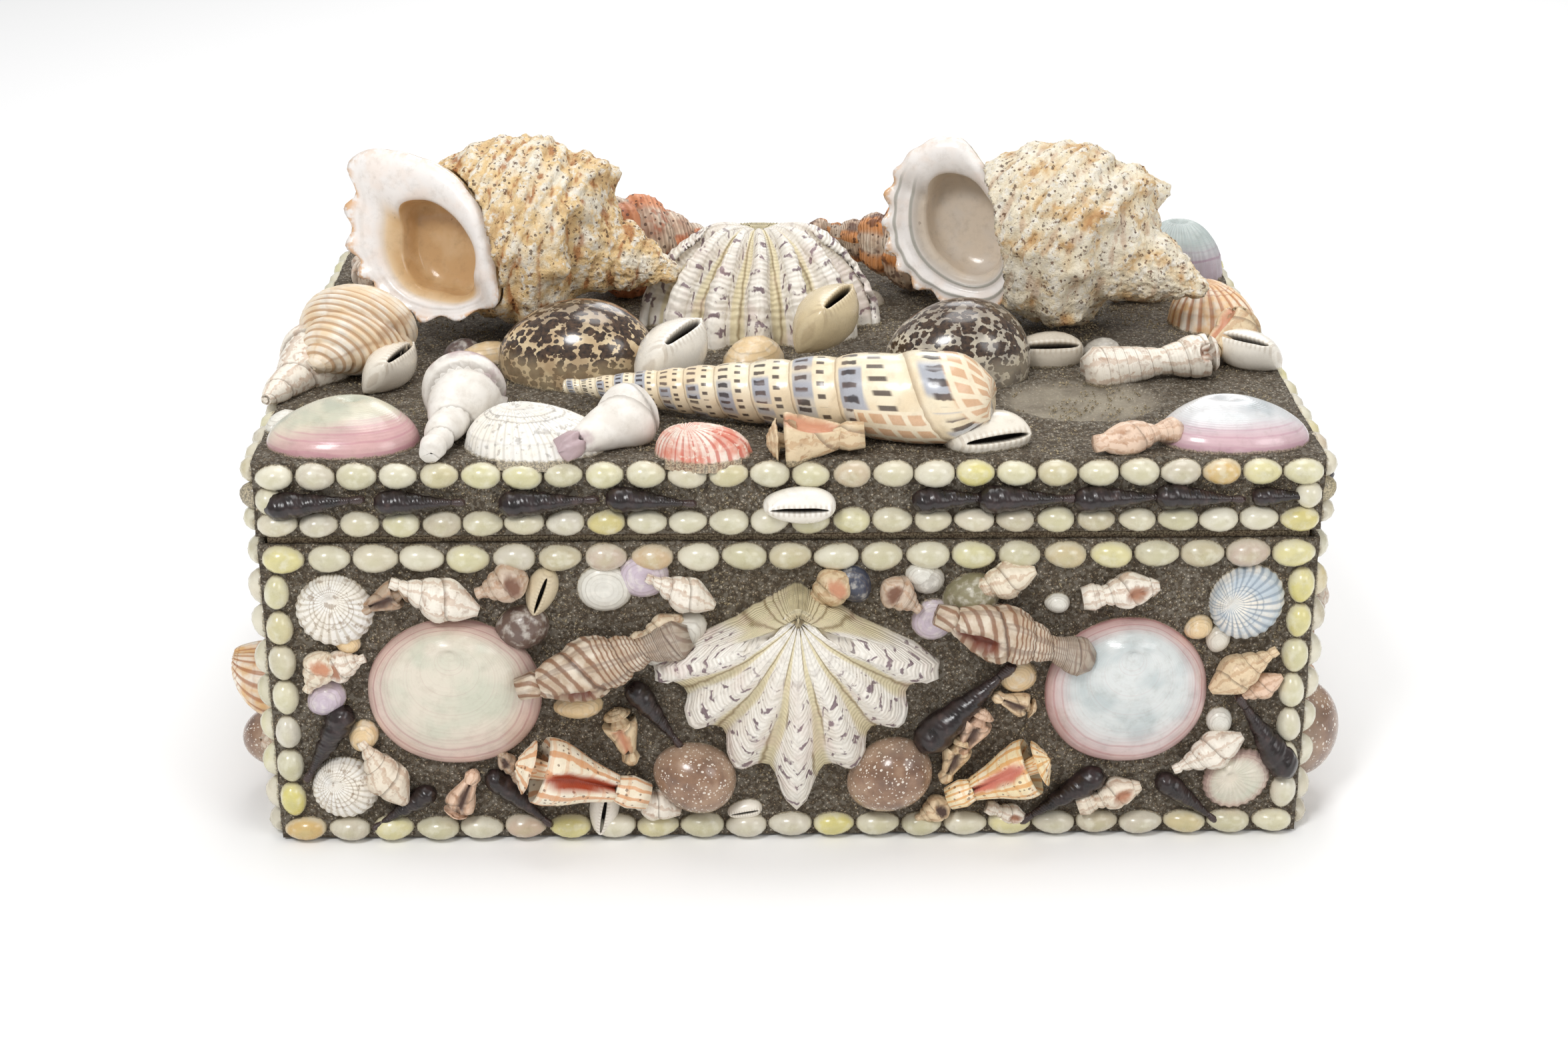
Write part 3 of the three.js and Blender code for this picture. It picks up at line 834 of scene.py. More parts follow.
def tiger(ground, shadow, smoke, line):
    """A tiger cowrie: crowded dark spots, partly run together, on a pale ground that grows
    smoky towards the top."""

    def recipe(b):
        own = b.read("own", "Vector")
        ball = b.vector("SCALE", own, scale=34.0)
        x, y, z = b.axes(own)
        low = z.ease(0.35, 0.05)
        base = b.mix(b.noise(b.place(), 9.0, detail=2.0).ease(0.35, 0.65), ground, shadow)
        veil = b.noise(ball, 8.0, detail=3.0)
        base = b.mix((z + veil * 0.5).ease(0.75, 1.25) * smoke, base, "7a6c60")
        ragged = (b.noise(ball, 2.0, detail=3.0) - 0.5) * 0.55
        spots = (b.cells(ball, 5.2) + ragged).ease(0.62, 0.44)
        second = b.vector("ADD", ball, (9.0, 4.0, 7.0))
        small = (b.cells(second, 3.0) + ragged).ease(0.5, 0.34)
        merged = (spots + small * 0.8 + (veil - 0.5) * 0.9).ease(0.42, 0.7)
        shade = b.mix(merged * (1.0 - low * 0.45), base, b.mix(ragged.ease(-0.15, 0.15), "221a17", "5b4534"))
        middle = (y + (b.noise(b.place(), 10.0) - 0.5) * 0.22 - 0.1).size()
        shade = b.mix(middle.ease(0.045, 0.02) * line, shade, "a4683c")
        return shade, None, None

    return recipe


def frog_shell(inner, deep, fold, ground, stain):
    """A frog shell: crusty cream and tan outside, porcelain lip, and a coloured throat."""

    def recipe(b):
        place = b.place()
        mouth = b.read("mouth")
        depth = b.read("depth")
        relief = b.read("fold")
        broad = b.noise(place, 15.0, detail=3.0, warp=0.6)
        shade = b.steps(broad, (0.34, "f5ecd8"), (0.5, ground), (0.64, "e0bd8a"), (0.8, "b98350"))
        streak = b.noise(b.vector("MULTIPLY", place, (1.0, 0.6, 0.35)), 5.0, detail=3.0)
        groove = relief.ease(0.62, 0.12)
        shade = b.mix(streak.ease(0.48, 0.62) * groove * stain, shade, "b0703a")
        crust = b.noise(place, 3.2, detail=3.0)
        shade = b.mix(crust.ease(0.46, 0.6) * relief.ease(0.2, 0.8) * 0.85, shade, "f7f1e4")
        pits = b.noise(b.vector("ADD", place, (40.0, 9.0, 5.0)), 2.8, detail=3.0, roughness=0.7)
        shade = b.mix(pits.ease(0.57, 0.66) * 0.85, shade, "6b4226")
        flecks = b.group(SPECKLE, Vector=place, Size=2.6, Share=0.24, Spot=0.3)["Mask"]
        shade = b.mix(flecks * 0.75, shade, "4d3020")
        porcelain = b.mix(b.noise(place, 12.0).ease(0.4, 0.7) * 0.5, "f1ece8", "f0dfd2")
        sloped = depth.ease(0.45, 1.02)
        rolled = depth.ease(0.97, 1.05)
        share = b.math("MULTIPLY_ADD", relief, rolled - sloped, sloped)
        cloud = b.noise(place, 16.0, detail=3.0)
        floor = b.mix(cloud.ease(0.4, 0.65) * 0.5, deep, inner)
        specks = b.group(SPECKLE, Vector=place, Size=7.0, Share=0.25, Spot=0.12)["Mask"]
        floor = b.mix(specks * 0.5, floor, "6d4a2c")
        lining = b.mix(share.ease(0.0, 0.6) * (1.0 - relief), porcelain, inner)
        lining = b.mix(share.ease(0.4, 1.0), lining, floor)
        rings = (depth * 2.6 - 0.2).wave().ease(0.25, 0.0) * depth.ease(1.0, 0.8)
        lining = b.mix(rings * (1.0 - relief) * fold, lining, "9c9a90")
        tooth = b.noise(place, 4.0).ease(0.4, 0.6)
        edge = depth.ease(0.2, 0.02) * (1.0 - relief * 0.7)
        lining = b.mix(edge * tooth * 0.85, lining, "d9a56c")
        shade = b.mix(mouth, shade, lining)
        height = b.noise(place, 1.8, detail=4.0, roughness=0.7) * 1.6 * (1.0 - mouth)
        return shade, mouth * -0.36, height

    return recipe


def triton(dark, bright):
    """A triton: pinkish cream with beaded cords and rusty patches along its varices."""

    def recipe(b):
        place = b.place()
        whorl = b.group(WHORL)
        across, around = whorl["Across"], whorl["Around"]
        broad = b.noise(place, 12.0, detail=3.0)
        shade = b.steps(broad, (0.3, "e9dccb"), (0.5, "d9c2ab"), (0.68, "b58f78"))
        cords = (across * 7.0).wave()
        shade = b.mix((1.0 - cords) * 0.45, shade, "8b6b58")
        varix = (around * 3.0 + whorl["Whorl"] * 0.31).wave().ease(0.55, 0.9)
        shade = b.mix(varix * 0.75, shade, bright)
        patch = b.noise(place, 7.0, detail=2.0).ease(0.52, 0.64)
        shade = b.mix(patch * 0.7, shade, dark)
        flecks = b.group(SPECKLE, Vector=place, Size=2.4, Share=0.4, Spot=0.32)["Mask"]
        shade = b.mix(flecks * 0.8, shade, "4b2f22")
        # Painted shade: a dark line along the suture groove between the whorls.
        suture = across.ease(0.08, 0.0)
        shade = b.mix(suture * 0.6, shade, "5e4a3d")
        return shade, None, cords * 0.8

    return recipe


def bear_paw(b):
    """A bear paw clam: white folds, straw-coloured furrows and rows of purple dashes."""
    place = b.place()
    grow = b.read("grow")
    ray = b.read("ray")
    fold = b.read("fold")
    cloud = b.noise(place, 12.0, detail=3.0)
    shade = b.mix(cloud.ease(0.4, 0.65) * 0.5, "f1ece2", "e2d8cb")
    furrow = fold.ease(0.42, 0.05)
    shade = b.mix(furrow * 0.75, shade, "d9cb9c")
    waver = (b.noise(place, 8.0) - 0.5) * 0.05
    lines = ((ray + waver) * 8.5).wave().power(9.0)
    shade = b.mix(lines * furrow.ease(0.0, 0.5) * 0.75, shade, "87704a")
    wobble = b.noise(place, 9.0, detail=3.0) * 1.6
    rows = (grow * 9.0 + fold * 1.1 + wobble).fract()
    dash = (rows - 0.5).size().ease(0.17, 0.09)
    gaps = b.noise(b.vector("ADD", place, (31.0, 7.0, 3.0)), 5.5, detail=2.0).ease(0.47, 0.56)
    where = grow.ease(0.2, 0.5) * fold.ease(0.15, 0.5)
    shade = b.mix(dash * gaps * where * 0.9, shade, b.mix(cloud, "54404c", "8a6f78"))
    blush = b.noise(place, 16.0).ease(0.5, 0.7) * grow
    shade = b.mix(blush * 0.25, shade, "d9b3b0")
    fine = b.group(GROWTH, Value=grow, Lines=34.0, Waver=1.2)
    shade = b.mix(fine["Line"] * 0.22, shade, "8f8268")
    return shade, None, fine["Height"] * 0.5 + lines * -0.5


def marlinspike(b):
    """A marlinspike: cream, with a row of long dark dashes and one of dots on each whorl, and
    columns of tan squares on the last."""
    whorl = b.group(WHORL)
    across, around, turn = whorl["Across"], whorl["Around"], whorl["Whorl"]
    place = b.place()
    cloud = b.noise(place, 16.0, detail=2.0)
    shade = b.mix(cloud.ease(0.4, 0.65) * 0.6, "efe2c6", "e3cba6")
    last = b.math("GREATER_THAN", turn, 10.5)
    column = around * 19.0 + turn * 0.37
    jitter = (b.noise(place, 6.0) - 0.5) * 0.5
    stroke = ((column + jitter).fract() - 0.5).size()
    long_band = (across - 0.3 + jitter * 0.1).size().ease(0.17, 0.12)
    strength = b.noise(b.join(column * 0.7, turn * 3.0, 0.0), 1.0)
    long_dash = stroke.ease(0.28, 0.16) * long_band * strength.ease(0.36, 0.46)
    blue = b.noise(b.join(column * 0.2, turn, 0.0), 1.0).ease(0.47, 0.53)
    shade = b.mix(blue * (across - 0.32).size().ease(0.26, 0.2) * 0.8, shade, "98a1b4")
    shade = b.mix(long_dash * 0.9, shade, b.mix(cloud.ease(0.4, 0.6), "2f2628", "65524a"))
    small = ((column * 1.0 + 0.5).fract() - 0.5).size().ease(0.22, 0.14)
    dots = small * (across - 0.72).size().ease(0.1, 0.06)
    shade = b.mix(dots * 0.9, shade, "40302c")
    squares_across = ((across * 6.0).fract() - 0.5).size().ease(0.4, 0.3)
    squares_around = ((around * 16.0).fract() - 0.5).size().ease(0.36, 0.26)
    squares = squares_across * squares_around
    tail = b.mix(squares * 0.75, "efe0c4", "cf9c72")
    shade = b.mix(last * across.ease(0.28, 0.32), shade, tail)
    # Painted shade: a darker line along the suture groove, which the bump also sinks.
    line = across.ease(0.06, 0.0)
    shade = b.mix(line * 0.6, shade, "9d8263")
    return shade, None, line * -0.6


def cone_shell(ground, stripe, inside, stripes):
    """A cone: wavering stripes or specks on cream, glossy, with a coloured mouth."""

    def recipe(b):
        whorl = b.group(WHORL)
        place = b.place()
        mouth = b.read("mouth")
        share = b.read("share")
        waver = (b.noise(place, 7.0, detail=3.0) - 0.5) * 0.5
        wide = (whorl["Around"] * stripes + waver).wave().ease(0.62, 0.85)
        shade = b.mix(b.noise(place, 9.0).ease(0.4, 0.7) * 0.5, ground, "fbf4e6")
        shade = b.mix(wide * 0.75, shade, stripe)
        bands = (share * 9.0 + waver).wave().ease(0.8, 0.95)
        shade = b.mix(bands * 0.35, shade, stripe)
        flecks = b.group(SPECKLE, Vector=place, Size=2.2, Share=0.35, Spot=0.3)["Mask"]
        shade = b.mix(flecks * 0.7, shade, "6b4a33")
        shade = b.mix(mouth, shade, inside)
        return shade, None, (share * 60.0).wave() * 0.15

    return recipe


def whelk(ground, band, mouth_colour):
    """A whelk: brown and cream bands that follow its cords."""

    def recipe(b):
        whorl = b.group(WHORL)
        place = b.place()
        mouth = b.read("mouth")
        across = whorl["Across"]
        waver = (b.noise(place, 5.0, detail=3.0) - 0.5) * 0.35
        cords = (across * 6.0 + waver).wave()
        shade = b.mix(b.noise(place, 7.0, detail=3.0).ease(0.35, 0.7), ground, "d8cbb8")
        shade = b.mix(cords.ease(0.5, 0.9) * 0.8, shade, band)
        streaks = b.noise(b.join(whorl["Around"] * 9.0, whorl["Whorl"] * 3.0, 0.0), 0.6)
        shade = b.mix(streaks.ease(0.5, 0.62) * 0.5, shade, "7a6355")
        share = b.read("share")
        shade = b.mix(share.ease(0.35, 0.05) * 0.55, shade, "8d8379")
        # Painted shade: a dark line along the suture groove between the whorls.
        shade = b.mix(across.ease(0.08, 0.0) * 0.6, shade, "4a3b31")
        shade = b.mix(mouth, shade, mouth_colour)
        return shade, None, cords * 0.7

    return recipe


def small_spire(b):
    """Small whelks and top shells of mixed colours, banded with brown."""
    tone = b.read("tone")
    whorl = b.group(WHORL)
    place = b.place()
    shade = b.steps(
        tone, (0.0, "e8dcc6"), (0.2, "d9c3a0"), (0.35, "f0e8da"), (0.5, "cdb9a5"), (0.62, "e7cfa9"),
        (0.75, "b9a48e"), (0.88, "e6c7ae"), (1.0, "d1c9bb"),
    )
    patch = b.noise(place, 4.0, detail=3.0, warp=0.5)
    shade = b.mix(patch.ease(0.5, 0.75) * 0.55, shade, "8c5b36")
    flames = (whorl["Around"] * 7.0 + patch * 1.4).wave().ease(0.7, 0.9)
    shade = b.mix(flames * 0.35, shade, "a9713f")
    # Painted shade: a dark line along the suture groove between the whorls.
    shade = b.mix(whorl["Across"].ease(0.1, 0.0) * 0.6, shade, "6b5440")
    shade = b.mix(b.read("mouth"), shade, b.steps(tone, (0.2, "c98f6f"), (0.6, "4b342a")))
    return shade, None, (whorl["Across"] * 5.0).wave() * 0.35


def turban_shell(b):
    """White and chalky, mauve-grey on the last whorl."""
    place = b.place()
    share = b.read("share")
    cloud = b.noise(place, 9.0, detail=3.0)
    shade = b.mix(cloud.ease(0.4, 0.65) * 0.6, "ece7df", "d8d0c5")
    mauve = (share + (cloud - 0.5) * 0.4).ease(0.72, 0.9)
    shade = b.mix(mauve * 0.8, shade, "a88a92")
    across = b.group(WHORL)["Across"]
    # Painted shade: a grey line along the suture groove between the whorls.
    return b.mix(across.ease(0.08, 0.0) * 0.5, shade, "8f857a"), None, None


def black_shell(b):
    """Black and plum-coloured horn shells, worn paler towards the tip."""
    place = b.place()
    whorl = b.group(WHORL)
    worn = b.noise(place, 5.0, detail=3.0)
    shade = b.steps(worn, (0.35, "17100f"), (0.6, "2c1f1f"), (0.8, "52403d"))
    shade = b.mix(b.read("share").ease(0.3, 0.0) * 0.4, shade, "5c4743")
    return shade, None, (whorl["Across"] * 4.0).wave() * 0.4


def pebble(b):
    """Worn pebble-like shells and beads of mixed pale colours."""
    tone = b.read("tone")
    shade = b.steps(
        tone, (0.0, "d9d2c4"), (0.15, "b9b4ab"), (0.3, "e3c79a"), (0.42, "c7b8c4"), (0.55, "dcd9cf"),
        (0.68, "8b8467"), (0.8, "6a564d"), (0.9, "3d4354"), (1.0, "d5a9a0"),
    )
    cloud = b.noise(b.place(), 4.0, detail=3.0)
    shade = b.mix(cloud.ease(0.45, 0.7) * 0.45, shade, "efeadf")
    grow = b.read("grow")
    rings = b.group(GROWTH, Value=grow, Lines=6.0, Waver=0.6)
    return b.mix(rings["Line"] * 0.3, shade, "7d6c57"), None, rings["Height"] * 0.15


def ribs_and_rings(ground, groove, line, flecked=0.0):
    """A ribbed cockle: its ribs and its growth lines in three colours."""

    def recipe(b):
        grow = b.read("grow")
        fold = b.read("fold")
        place = b.place()
        tint = b.mix(b.noise(place, 10.0, detail=3.0).ease(0.35, 0.7), ground, "f3ecdf")
        shade = b.mix(fold.ease(0.5, 0.1) * 0.75, tint, groove)
        rings = b.group(GROWTH, Value=grow, Lines=9.0, Waver=0.8)
        shade = b.mix(rings["Line"] * 0.5, shade, line)
        flecks = b.noise(place, 3.0, detail=3.0).ease(0.56, 0.66)
        shade = b.mix(flecks * flecked, shade, line)
        return shade, None, rings["Height"] * 0.3

    return recipe


def sheen_clam(ground, crown, margin, line, reach=0.74, drift=(0.0, 0.0), strength=0.7):
    """A smooth clam: pale and glossy, with rosy growth bands towards its margin, more so on
    the side that the drift points to."""

    def recipe(b):
        grow = b.read("grow")
        place = b.place()
        cloud = b.noise(place, 18.0, detail=2.0)
        shade = b.mix(cloud.ease(0.35, 0.7), ground, crown)
        x, y, _ = b.axes(b.read("own", "Vector"))
        lean = x * drift[0] + y * drift[1]
        waver = (b.noise(place, 22.0) - 0.5) * 0.16
        near = grow + waver
        side = (near + lean).ease(reach, reach + 0.45)
        shade = b.mix(side * strength, shade, margin)
        bands = ((grow + waver * 0.4) * 11.0).wave().ease(0.8, 0.98)
        shade = b.mix(bands * side.ease(0.05, 0.5) * 0.35, shade, line)
        fine = b.group(GROWTH, Value=grow, Lines=30.0, Waver=0.3)
        shade = b.mix(fine["Line"] * 0.12, shade, line)
        return shade, None, fine["Height"] * 0.1

    return recipe


def brown_cowrie(b):
    """A brown cowrie strewn with fine white specks."""
    own = b.read("own", "Vector")
    ball = b.vector("SCALE", own, scale=20.0)
    cloud = b.noise(b.place(), 11.0, detail=3.0)
    shade = b.steps(cloud, (0.32, "6f5546"), (0.5, "8e6f59"), (0.68, "a98c74"))
    big = b.group(SPECKLE, Vector=ball, Size=2.1, Share=0.34, Spot=0.3)["Mask"]
    tiny = b.group(SPECKLE, Vector=ball, Size=1.1, Share=0.22, Spot=0.36)["Mask"]
    shade = b.mix(big.most(tiny) * 0.8, shade, "efe6da")
    return b.mix(b.read("grow").ease(0.75, 1.0) * 0.4, shade, "b9a491"), None, None


def white_slit(b):
    """The underside of a cowrie or olive: white, toothed beside a slit painted near black as its shade."""
    tone = b.read("tone")
    shade = b.steps(tone, (0.0, "f2eee6"), (0.5, "e8dfce"), (0.75, "d9c7a2"), (1.0, "c3c0bd"))
    x, y, z = b.axes(b.read("own", "Vector"))
    teeth = (x * 7.0).wave().ease(0.4, 0.8) * y.size().ease(0.42, 0.2)
    shade = b.mix(teeth * 0.3, shade, "9b8365")
    # Painted shade: the mouth of the slit is painted near black, standing for the shade inside it.
    return b.mix(b.read("mouth"), shade, "1f1712"), None, teeth * 0.3


def sanded_mortar(b):
    """Grey-brown mortar with grains of sand pressed into it."""
    place = b.place()
    broad = b.noise(place, 30.0, detail=3.0)
    shade = b.steps(broad, (0.3, "54473a"), (0.5, "6e5f4e"), (0.7, "857460"))
    cell = b.node("TexVoronoi")
    b.feed(cell.inputs["Vector"], place)
    cell.inputs["Scale"].default_value = 1 / 1.5
    cell.inputs["Detail"].default_value = 1.6
    pick, _, _ = b.axes(Wire(b, cell.outputs["Color"]))
    grain = b.steps(pick, (0.0, "3a2f26"), (0.3, "6b5a48"), (0.6, "8f7d66"), (0.85, "b5a184"), (1.0, "e0d5c2"))
    dome = Wire(b, cell.outputs["Distance"]).ease(0.75, 0.1)
    shade = b.mix(0.75, shade, grain)
    # Painted shade: the gaps between the grains, low in the bump, are darkened almost to black.
    shade = b.mix(dome.ease(0.4, 0.0) * 0.8, shade, "2e281f")
    smear = b.read("bare")
    shade = b.mix(smear * 0.7, shade, b.mix(broad.ease(0.35, 0.6), "8a8172", "a69d8b"))
    return shade, 0.25, dome * (1.0 - smear * 0.85) * 0.9


def grit(b):
    tone = b.read("tone")
    shade = b.steps(
        tone, (0.0, "3b3228"), (0.25, "6d604c"), (0.5, "8f8064"), (0.7, "b3a078"), (0.86, "cdbd97"),
        (1.0, "e4dbc6"),
    )
    return shade, 0.2, None


def reddish_wood(b):
    """Reddish stained softwood, its grain running along the boards."""
    x, y, z = b.axes(b.place())
    waver = b.noise(b.join(x * 0.02, y * 0.02, z * 0.02), 1.0, detail=2.0) * 3.0
    rings = (y * 0.16 + z * 0.2 + waver).wave()
    fibre = b.noise(b.join(x * 0.05, y * 1.4, z * 1.4), 1.0, detail=4.0, roughness=0.7)
    shade = b.steps(rings * 0.6 + fibre * 0.4, (0.2, "4a2016"), (0.5, "6a3120"), (0.8, "8a4a2e"))
    dust = b.noise(b.place(), 40.0, detail=3.0).ease(0.55, 0.75)
    return b.mix(dust * 0.2, shade, "8f7a63"), 0.15, fibre * 0.4


FINISH = {
    "wood": shell_finish("reddish_wood", reddish_wood, gloss=0.5),
    "mortar": shell_finish("sanded_mortar", sanded_mortar, gloss=0.6, relief=0.8),
    "grit": shell_finish("sand_grains", grit, gloss=0.55),
    "row": shell_finish("money_cowrie", money_cowrie, gloss=0.26, coat=0.35),
    "tiger_grey": shell_finish("tiger_cowrie_grey", tiger("cdc3ae", "a79f92", 0.75, 0.0), gloss=0.2, coat=0.5),
    "tiger_cream": shell_finish("tiger_cowrie_cream", tiger("e0cba4", "c2a884", 0.8, 0.7), gloss=0.2, coat=0.5),
    "frog_tan": shell_finish("frog_shell_tan", frog_shell("dfc39c", "cda777", 0.1, "efd09a", 0.85), gloss=0.55, relief=0.9),
    "frog_pale": shell_finish("frog_shell_pale", frog_shell("d3cbc2", "dccdba", 0.8, "f4e6c8", 0.4), gloss=0.55, relief=0.9),
    "triton_pink": shell_finish("triton_pink", triton("a3552f", "d8804a"), gloss=0.5, relief=0.8),
    "triton_dark": shell_finish("triton_dark", triton("4b2420", "d2812f"), gloss=0.5, relief=0.8),
    "bear_paw": shell_finish("bear_paw_clam", bear_paw, gloss=0.45, relief=0.6),
    "marlinspike": shell_finish("marlinspike_shell", marlinspike, gloss=0.28, coat=0.3),
    "clam_cream": shell_finish("cream_clam", sheen_clam("dcd3c2", "cbcbb8", "d3a6a0", "a4636b", 0.6),
                               gloss=0.24, coat=0.4),
    "clam_blue": shell_finish("blue_clam", sheen_clam("d6d9d7", "b9c2c2", "d2938d", "b06a6c", 0.62),
                              gloss=0.18, coat=0.6),
    "tellin": shell_finish("tellin", sheen_clam("dad3bd", "b9bba8", "cd929c", "b9798a", 0.72, (0.006, -0.01)),
                           gloss=0.25, coat=0.35),
    "tellin_pale": shell_finish("pale_tellin", sheen_clam("d6d6d6", "b7bdbf", "d3a3ab", "b9899a", 0.8, (0.0, -0.01)),
                                gloss=0.22, coat=0.4),
    "speckled": shell_finish("speckled_clam", ribs_and_rings("ebe8e2", "cfcac0", "77706a", 0.45), gloss=0.45),
    "tun": shell_finish("ribbed_shell", ribs_and_rings("e6cfae", "b98f66", "a9805a"), gloss=0.45),
    "cockle_white": shell_finish("white_cockle", ribs_and_rings("efece6", "c9bfae", "8a6f52", 0.55), gloss=0.45),
    "cockle_blue": shell_finish("blue_cockle", ribs_and_rings("b9c4cc", "8b98a6", "70808f"), gloss=0.4),
    "cockle_orange": shell_finish("orange_cockle", ribs_and_rings("dcb27c", "a8683a", "9b5a2c"), gloss=0.4),
    "scallop_red": shell_finish("red_scallop", ribs_and_rings("d98f7a", "c45a48", "efdccb", 0.9), gloss=0.4),
    "clam_grey": shell_finish("grey_clam", sheen_clam("b9c2bf", "a3adab", "b48ca0", "8d4f74", 0.66), gloss=0.3),
    "brown_cowrie": shell_finish("brown_cowrie", brown_cowrie, gloss=0.25, coat=0.35),
    "whelk": shell_finish("banded_whelk", whelk("b9a289", "7f5335", "7a3f2c"), gloss=0.42),
    "cone_red": shell_finish("speckled_cone", cone_shell("f0e2c8", "d9965f", "a8482c", 9.0), gloss=0.3),
    "cone_yellow": shell_finish("striped_cone", cone_shell("f2dfb4", "e0a052", "d98a78", 13.0), gloss=0.3),
    "spire": shell_finish("small_spires", small_spire, gloss=0.38),
    "black": shell_finish("black_shell", black_shell, gloss=0.3, coat=0.3, reach=1.2),
    "pebble": shell_finish("pebble_shell", pebble, gloss=0.35, coat=0.2),
    "turban": shell_finish("turban", turban_shell, gloss=0.4),
    "slit": shell_finish("slit_shell", white_slit, gloss=0.28, coat=0.3),
}


# ------------------------------------------------------------------ wood and mortar


def dress_wood():
    for name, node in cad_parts.items():
        if name.endswith(("_board", "_rail")):
            node.data.materials.clear()
            node.data.materials.append(FINISH["wood"])


CELL = 3.6  # spacing of the mortar mesh, mm
COAT_WALL = 2.6  # thickness of the mortar skin, mm
BARE_AT = (140, -95)  # where a lost shell has left its smooth print, on the lid
BARE_HALF = (37, 28)


def sheet(face, low, high):
    """A grid on a face between two corners."""
    across = max(2, round((high[0] - low[0]) / CELL))
    up = max(2, round((high[1] - low[1]) / CELL))
    deselect()
    bpy.ops.mesh.primitive_grid_add(x_subdivisions=across, y_subdivisions=up, size=2)
    grid = bpy.context.object
    half = ((high[0] - low[0]) / 2, (high[1] - low[1]) / 2)
    middle = ((high[0] + low[0]) / 2, (high[1] + low[1]) / 2, 0)
    matrix = Matrix.Translation(middle) @ Matrix.Diagonal((*half, 1, 1))
    grid.data.transform(FACES[face] @ matrix)
    return grid


def mortar_coat(name, sheets, node):
    """A thin skin of mortar over several faces, uneven, with its own thickness."""
    coat = outward(joined(name, sheets))
    places = points(coat) / MM
    off = (places[:, :2] - np.array(BARE_AT)) / np.array(BARE_HALF)
    bare = eased(1.1, 0.85, np.hypot(*off.T)) * (places[:, 2] > LID_FACE / MM - 1)
    ring = bump(np.hypot(*off.T) - 1.05, 0.12) * (places[:, 2] > LID_FACE / MM - 1)
    roughen(coat, 0.012, 1.6 * MM)
    roughen(coat, 0.0035, 0.7 * MM, shift=0.3)
    places = points(coat)
    places[:, 2] += (1.3 * ring - 1.2 * bare) * MM
    set_points(coat, places)
    mark(coat, "bare", bare)
    wall = coat.modifiers.new("Wall", "SOLIDIFY")
    wall.thickness = COAT_WALL * MM
    wall.offset = -1
    apply_all(coat)
    smooth(coat)
    mark(coat, "bed", np.full(len(coat.data.vertices), 50.0))
    mark(coat, "tone", np.full(len(coat.data.vertices), 0.5))
    coat.data.materials.clear()
    coat.data.materials.append(FINISH["mortar"])
    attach(coat, "root")
    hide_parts(node)


def spread_mortar():
    sides = ("front", "right", "back", "left")
    low, high = BOX_COAT[0].z / MM, BOX_COAT[1].z / MM
    box = [sheet(face, (-HALF_RUN[face], low), (HALF_RUN[face], high)) for face in sides]
    mortar_coat("mortar_on_box", box, "box_mortar_coat")
    low, high = LID_COAT[0].z / MM, LID_FACE / MM
    lid = [sheet(face, (-HALF_RUN[face], low), (HALF_RUN[face], high)) for face in sides]
    corner = (HALF_RUN["front"], HALF_RUN["left"])
    lid.append(sheet("top", (-corner[0], -corner[1]), corner))
    mortar_coat("mortar_on_lid", lid, "lid_mortar_coat")


# ------------------------------------------------------------------ rows of small cowries

PITCH = {"lid": 18.6, "box": 20.6, "column": 18.0}


def cowrie_row(name, node, face, master, pitch, upright=False):
    """A row of cowries set end to end where the CAD has its row."""
    low, high = span(node, face)
    along = 1 if upright else 0
    run = high[along] - low[along]
    count = round(run / pitch)
    step = run / count
    width = high[1 - along] - low[1 - along]
    copies = []
    for i in range(count):
        centre = [0.0, 0.0, 0.0]
        centre[along] = low[along] + (i + 0.5) * step
        centre[1 - along] = (low[1 - along] + high[1 - along]) / 2 + random.uniform(-0.4, 0.4)
        heading = (math.pi / 2 if upright else 0) + random.uniform(-0.09, 0.09)
        heading += math.pi * random.randint(0, 1)
        size = Matrix.Diagonal((
            step * 0.5 * random.uniform(0.93, 1.03),
            width * 0.5 * random.uniform(0.88, 1.0),
            high.z * random.uniform(0.86, 0.98),
            1,
        ))
        place = Matrix.Translation(centre) @ Matrix.Rotation(heading, 4, "Z") @ size
        copies.append(copy_of(master, place))
    row = joined(name, copies)
    seat(row, face, FINISH["row"], [node])


def set_rows():
    master = smooth(cowrie("row_cowrie", 1, 1, 1, around=12, rings=8))
    corner = []
    for face in ("front", "back", "left", "right"):
        for part in ("lid", "box"):
            for level in ("upper", "lower"):
                node = f"{part}_{face}_{level}_cowrie_row"
                cowrie_row(node + "_shells", node, face, master, PITCH[part])
        for hand, side in (("left", -1), ("right", 1)):
            node = f"box_{face}_{hand}_cowrie_column"
            cowrie_row(node + "_shells", node, face, master, PITCH["column"], upright=True)
        upper = span(f"lid_{face}_upper_cowrie_row", face)[0].y
        lower = span(f"lid_{face}_lower_cowrie_row", face)[1].y
        for side in (-1, 1):
            centre = (side * (HALF_RUN[face] - 7), (upper + lower) / 2, 0)
            size = Matrix.Diagonal(((upper - lower) * 0.66, 6.2, 7.4, 1))
            place = Matrix.Translation(centre) @ Matrix.Rotation(math.pi / 2, 4, "Z") @ size
            one = copy_of(master, place)
            one.data.transform(FACES["front"].inverted() @ FACES[face])
            corner.append(one)
    row = joined("lid_corner_cowries", corner)
    seat(row, "front", FINISH["row"])
    discard(master)


# ------------------------------------------------------------------ the large shells


def turn_and_set(piece, at, turn=0.0, tilt=0.0):
    matrix = Matrix.Translation((at[0], at[1], 0)) @ Matrix.Rotation(turn, 4, "Z")
    piece.data.transform(matrix @ Matrix.Rotation(tilt, 4, "X"))
    return piece


def big_cowrie(node, face, half, height, turn, finish):
    piece = cowrie(node + "_shell", *half, height, around=28, rings=18)
    refine(smooth(piece))
    turn_and_set(piece, (0, 0), turn)
    seat(piece, face, FINISH[finish], [node], fit=node)


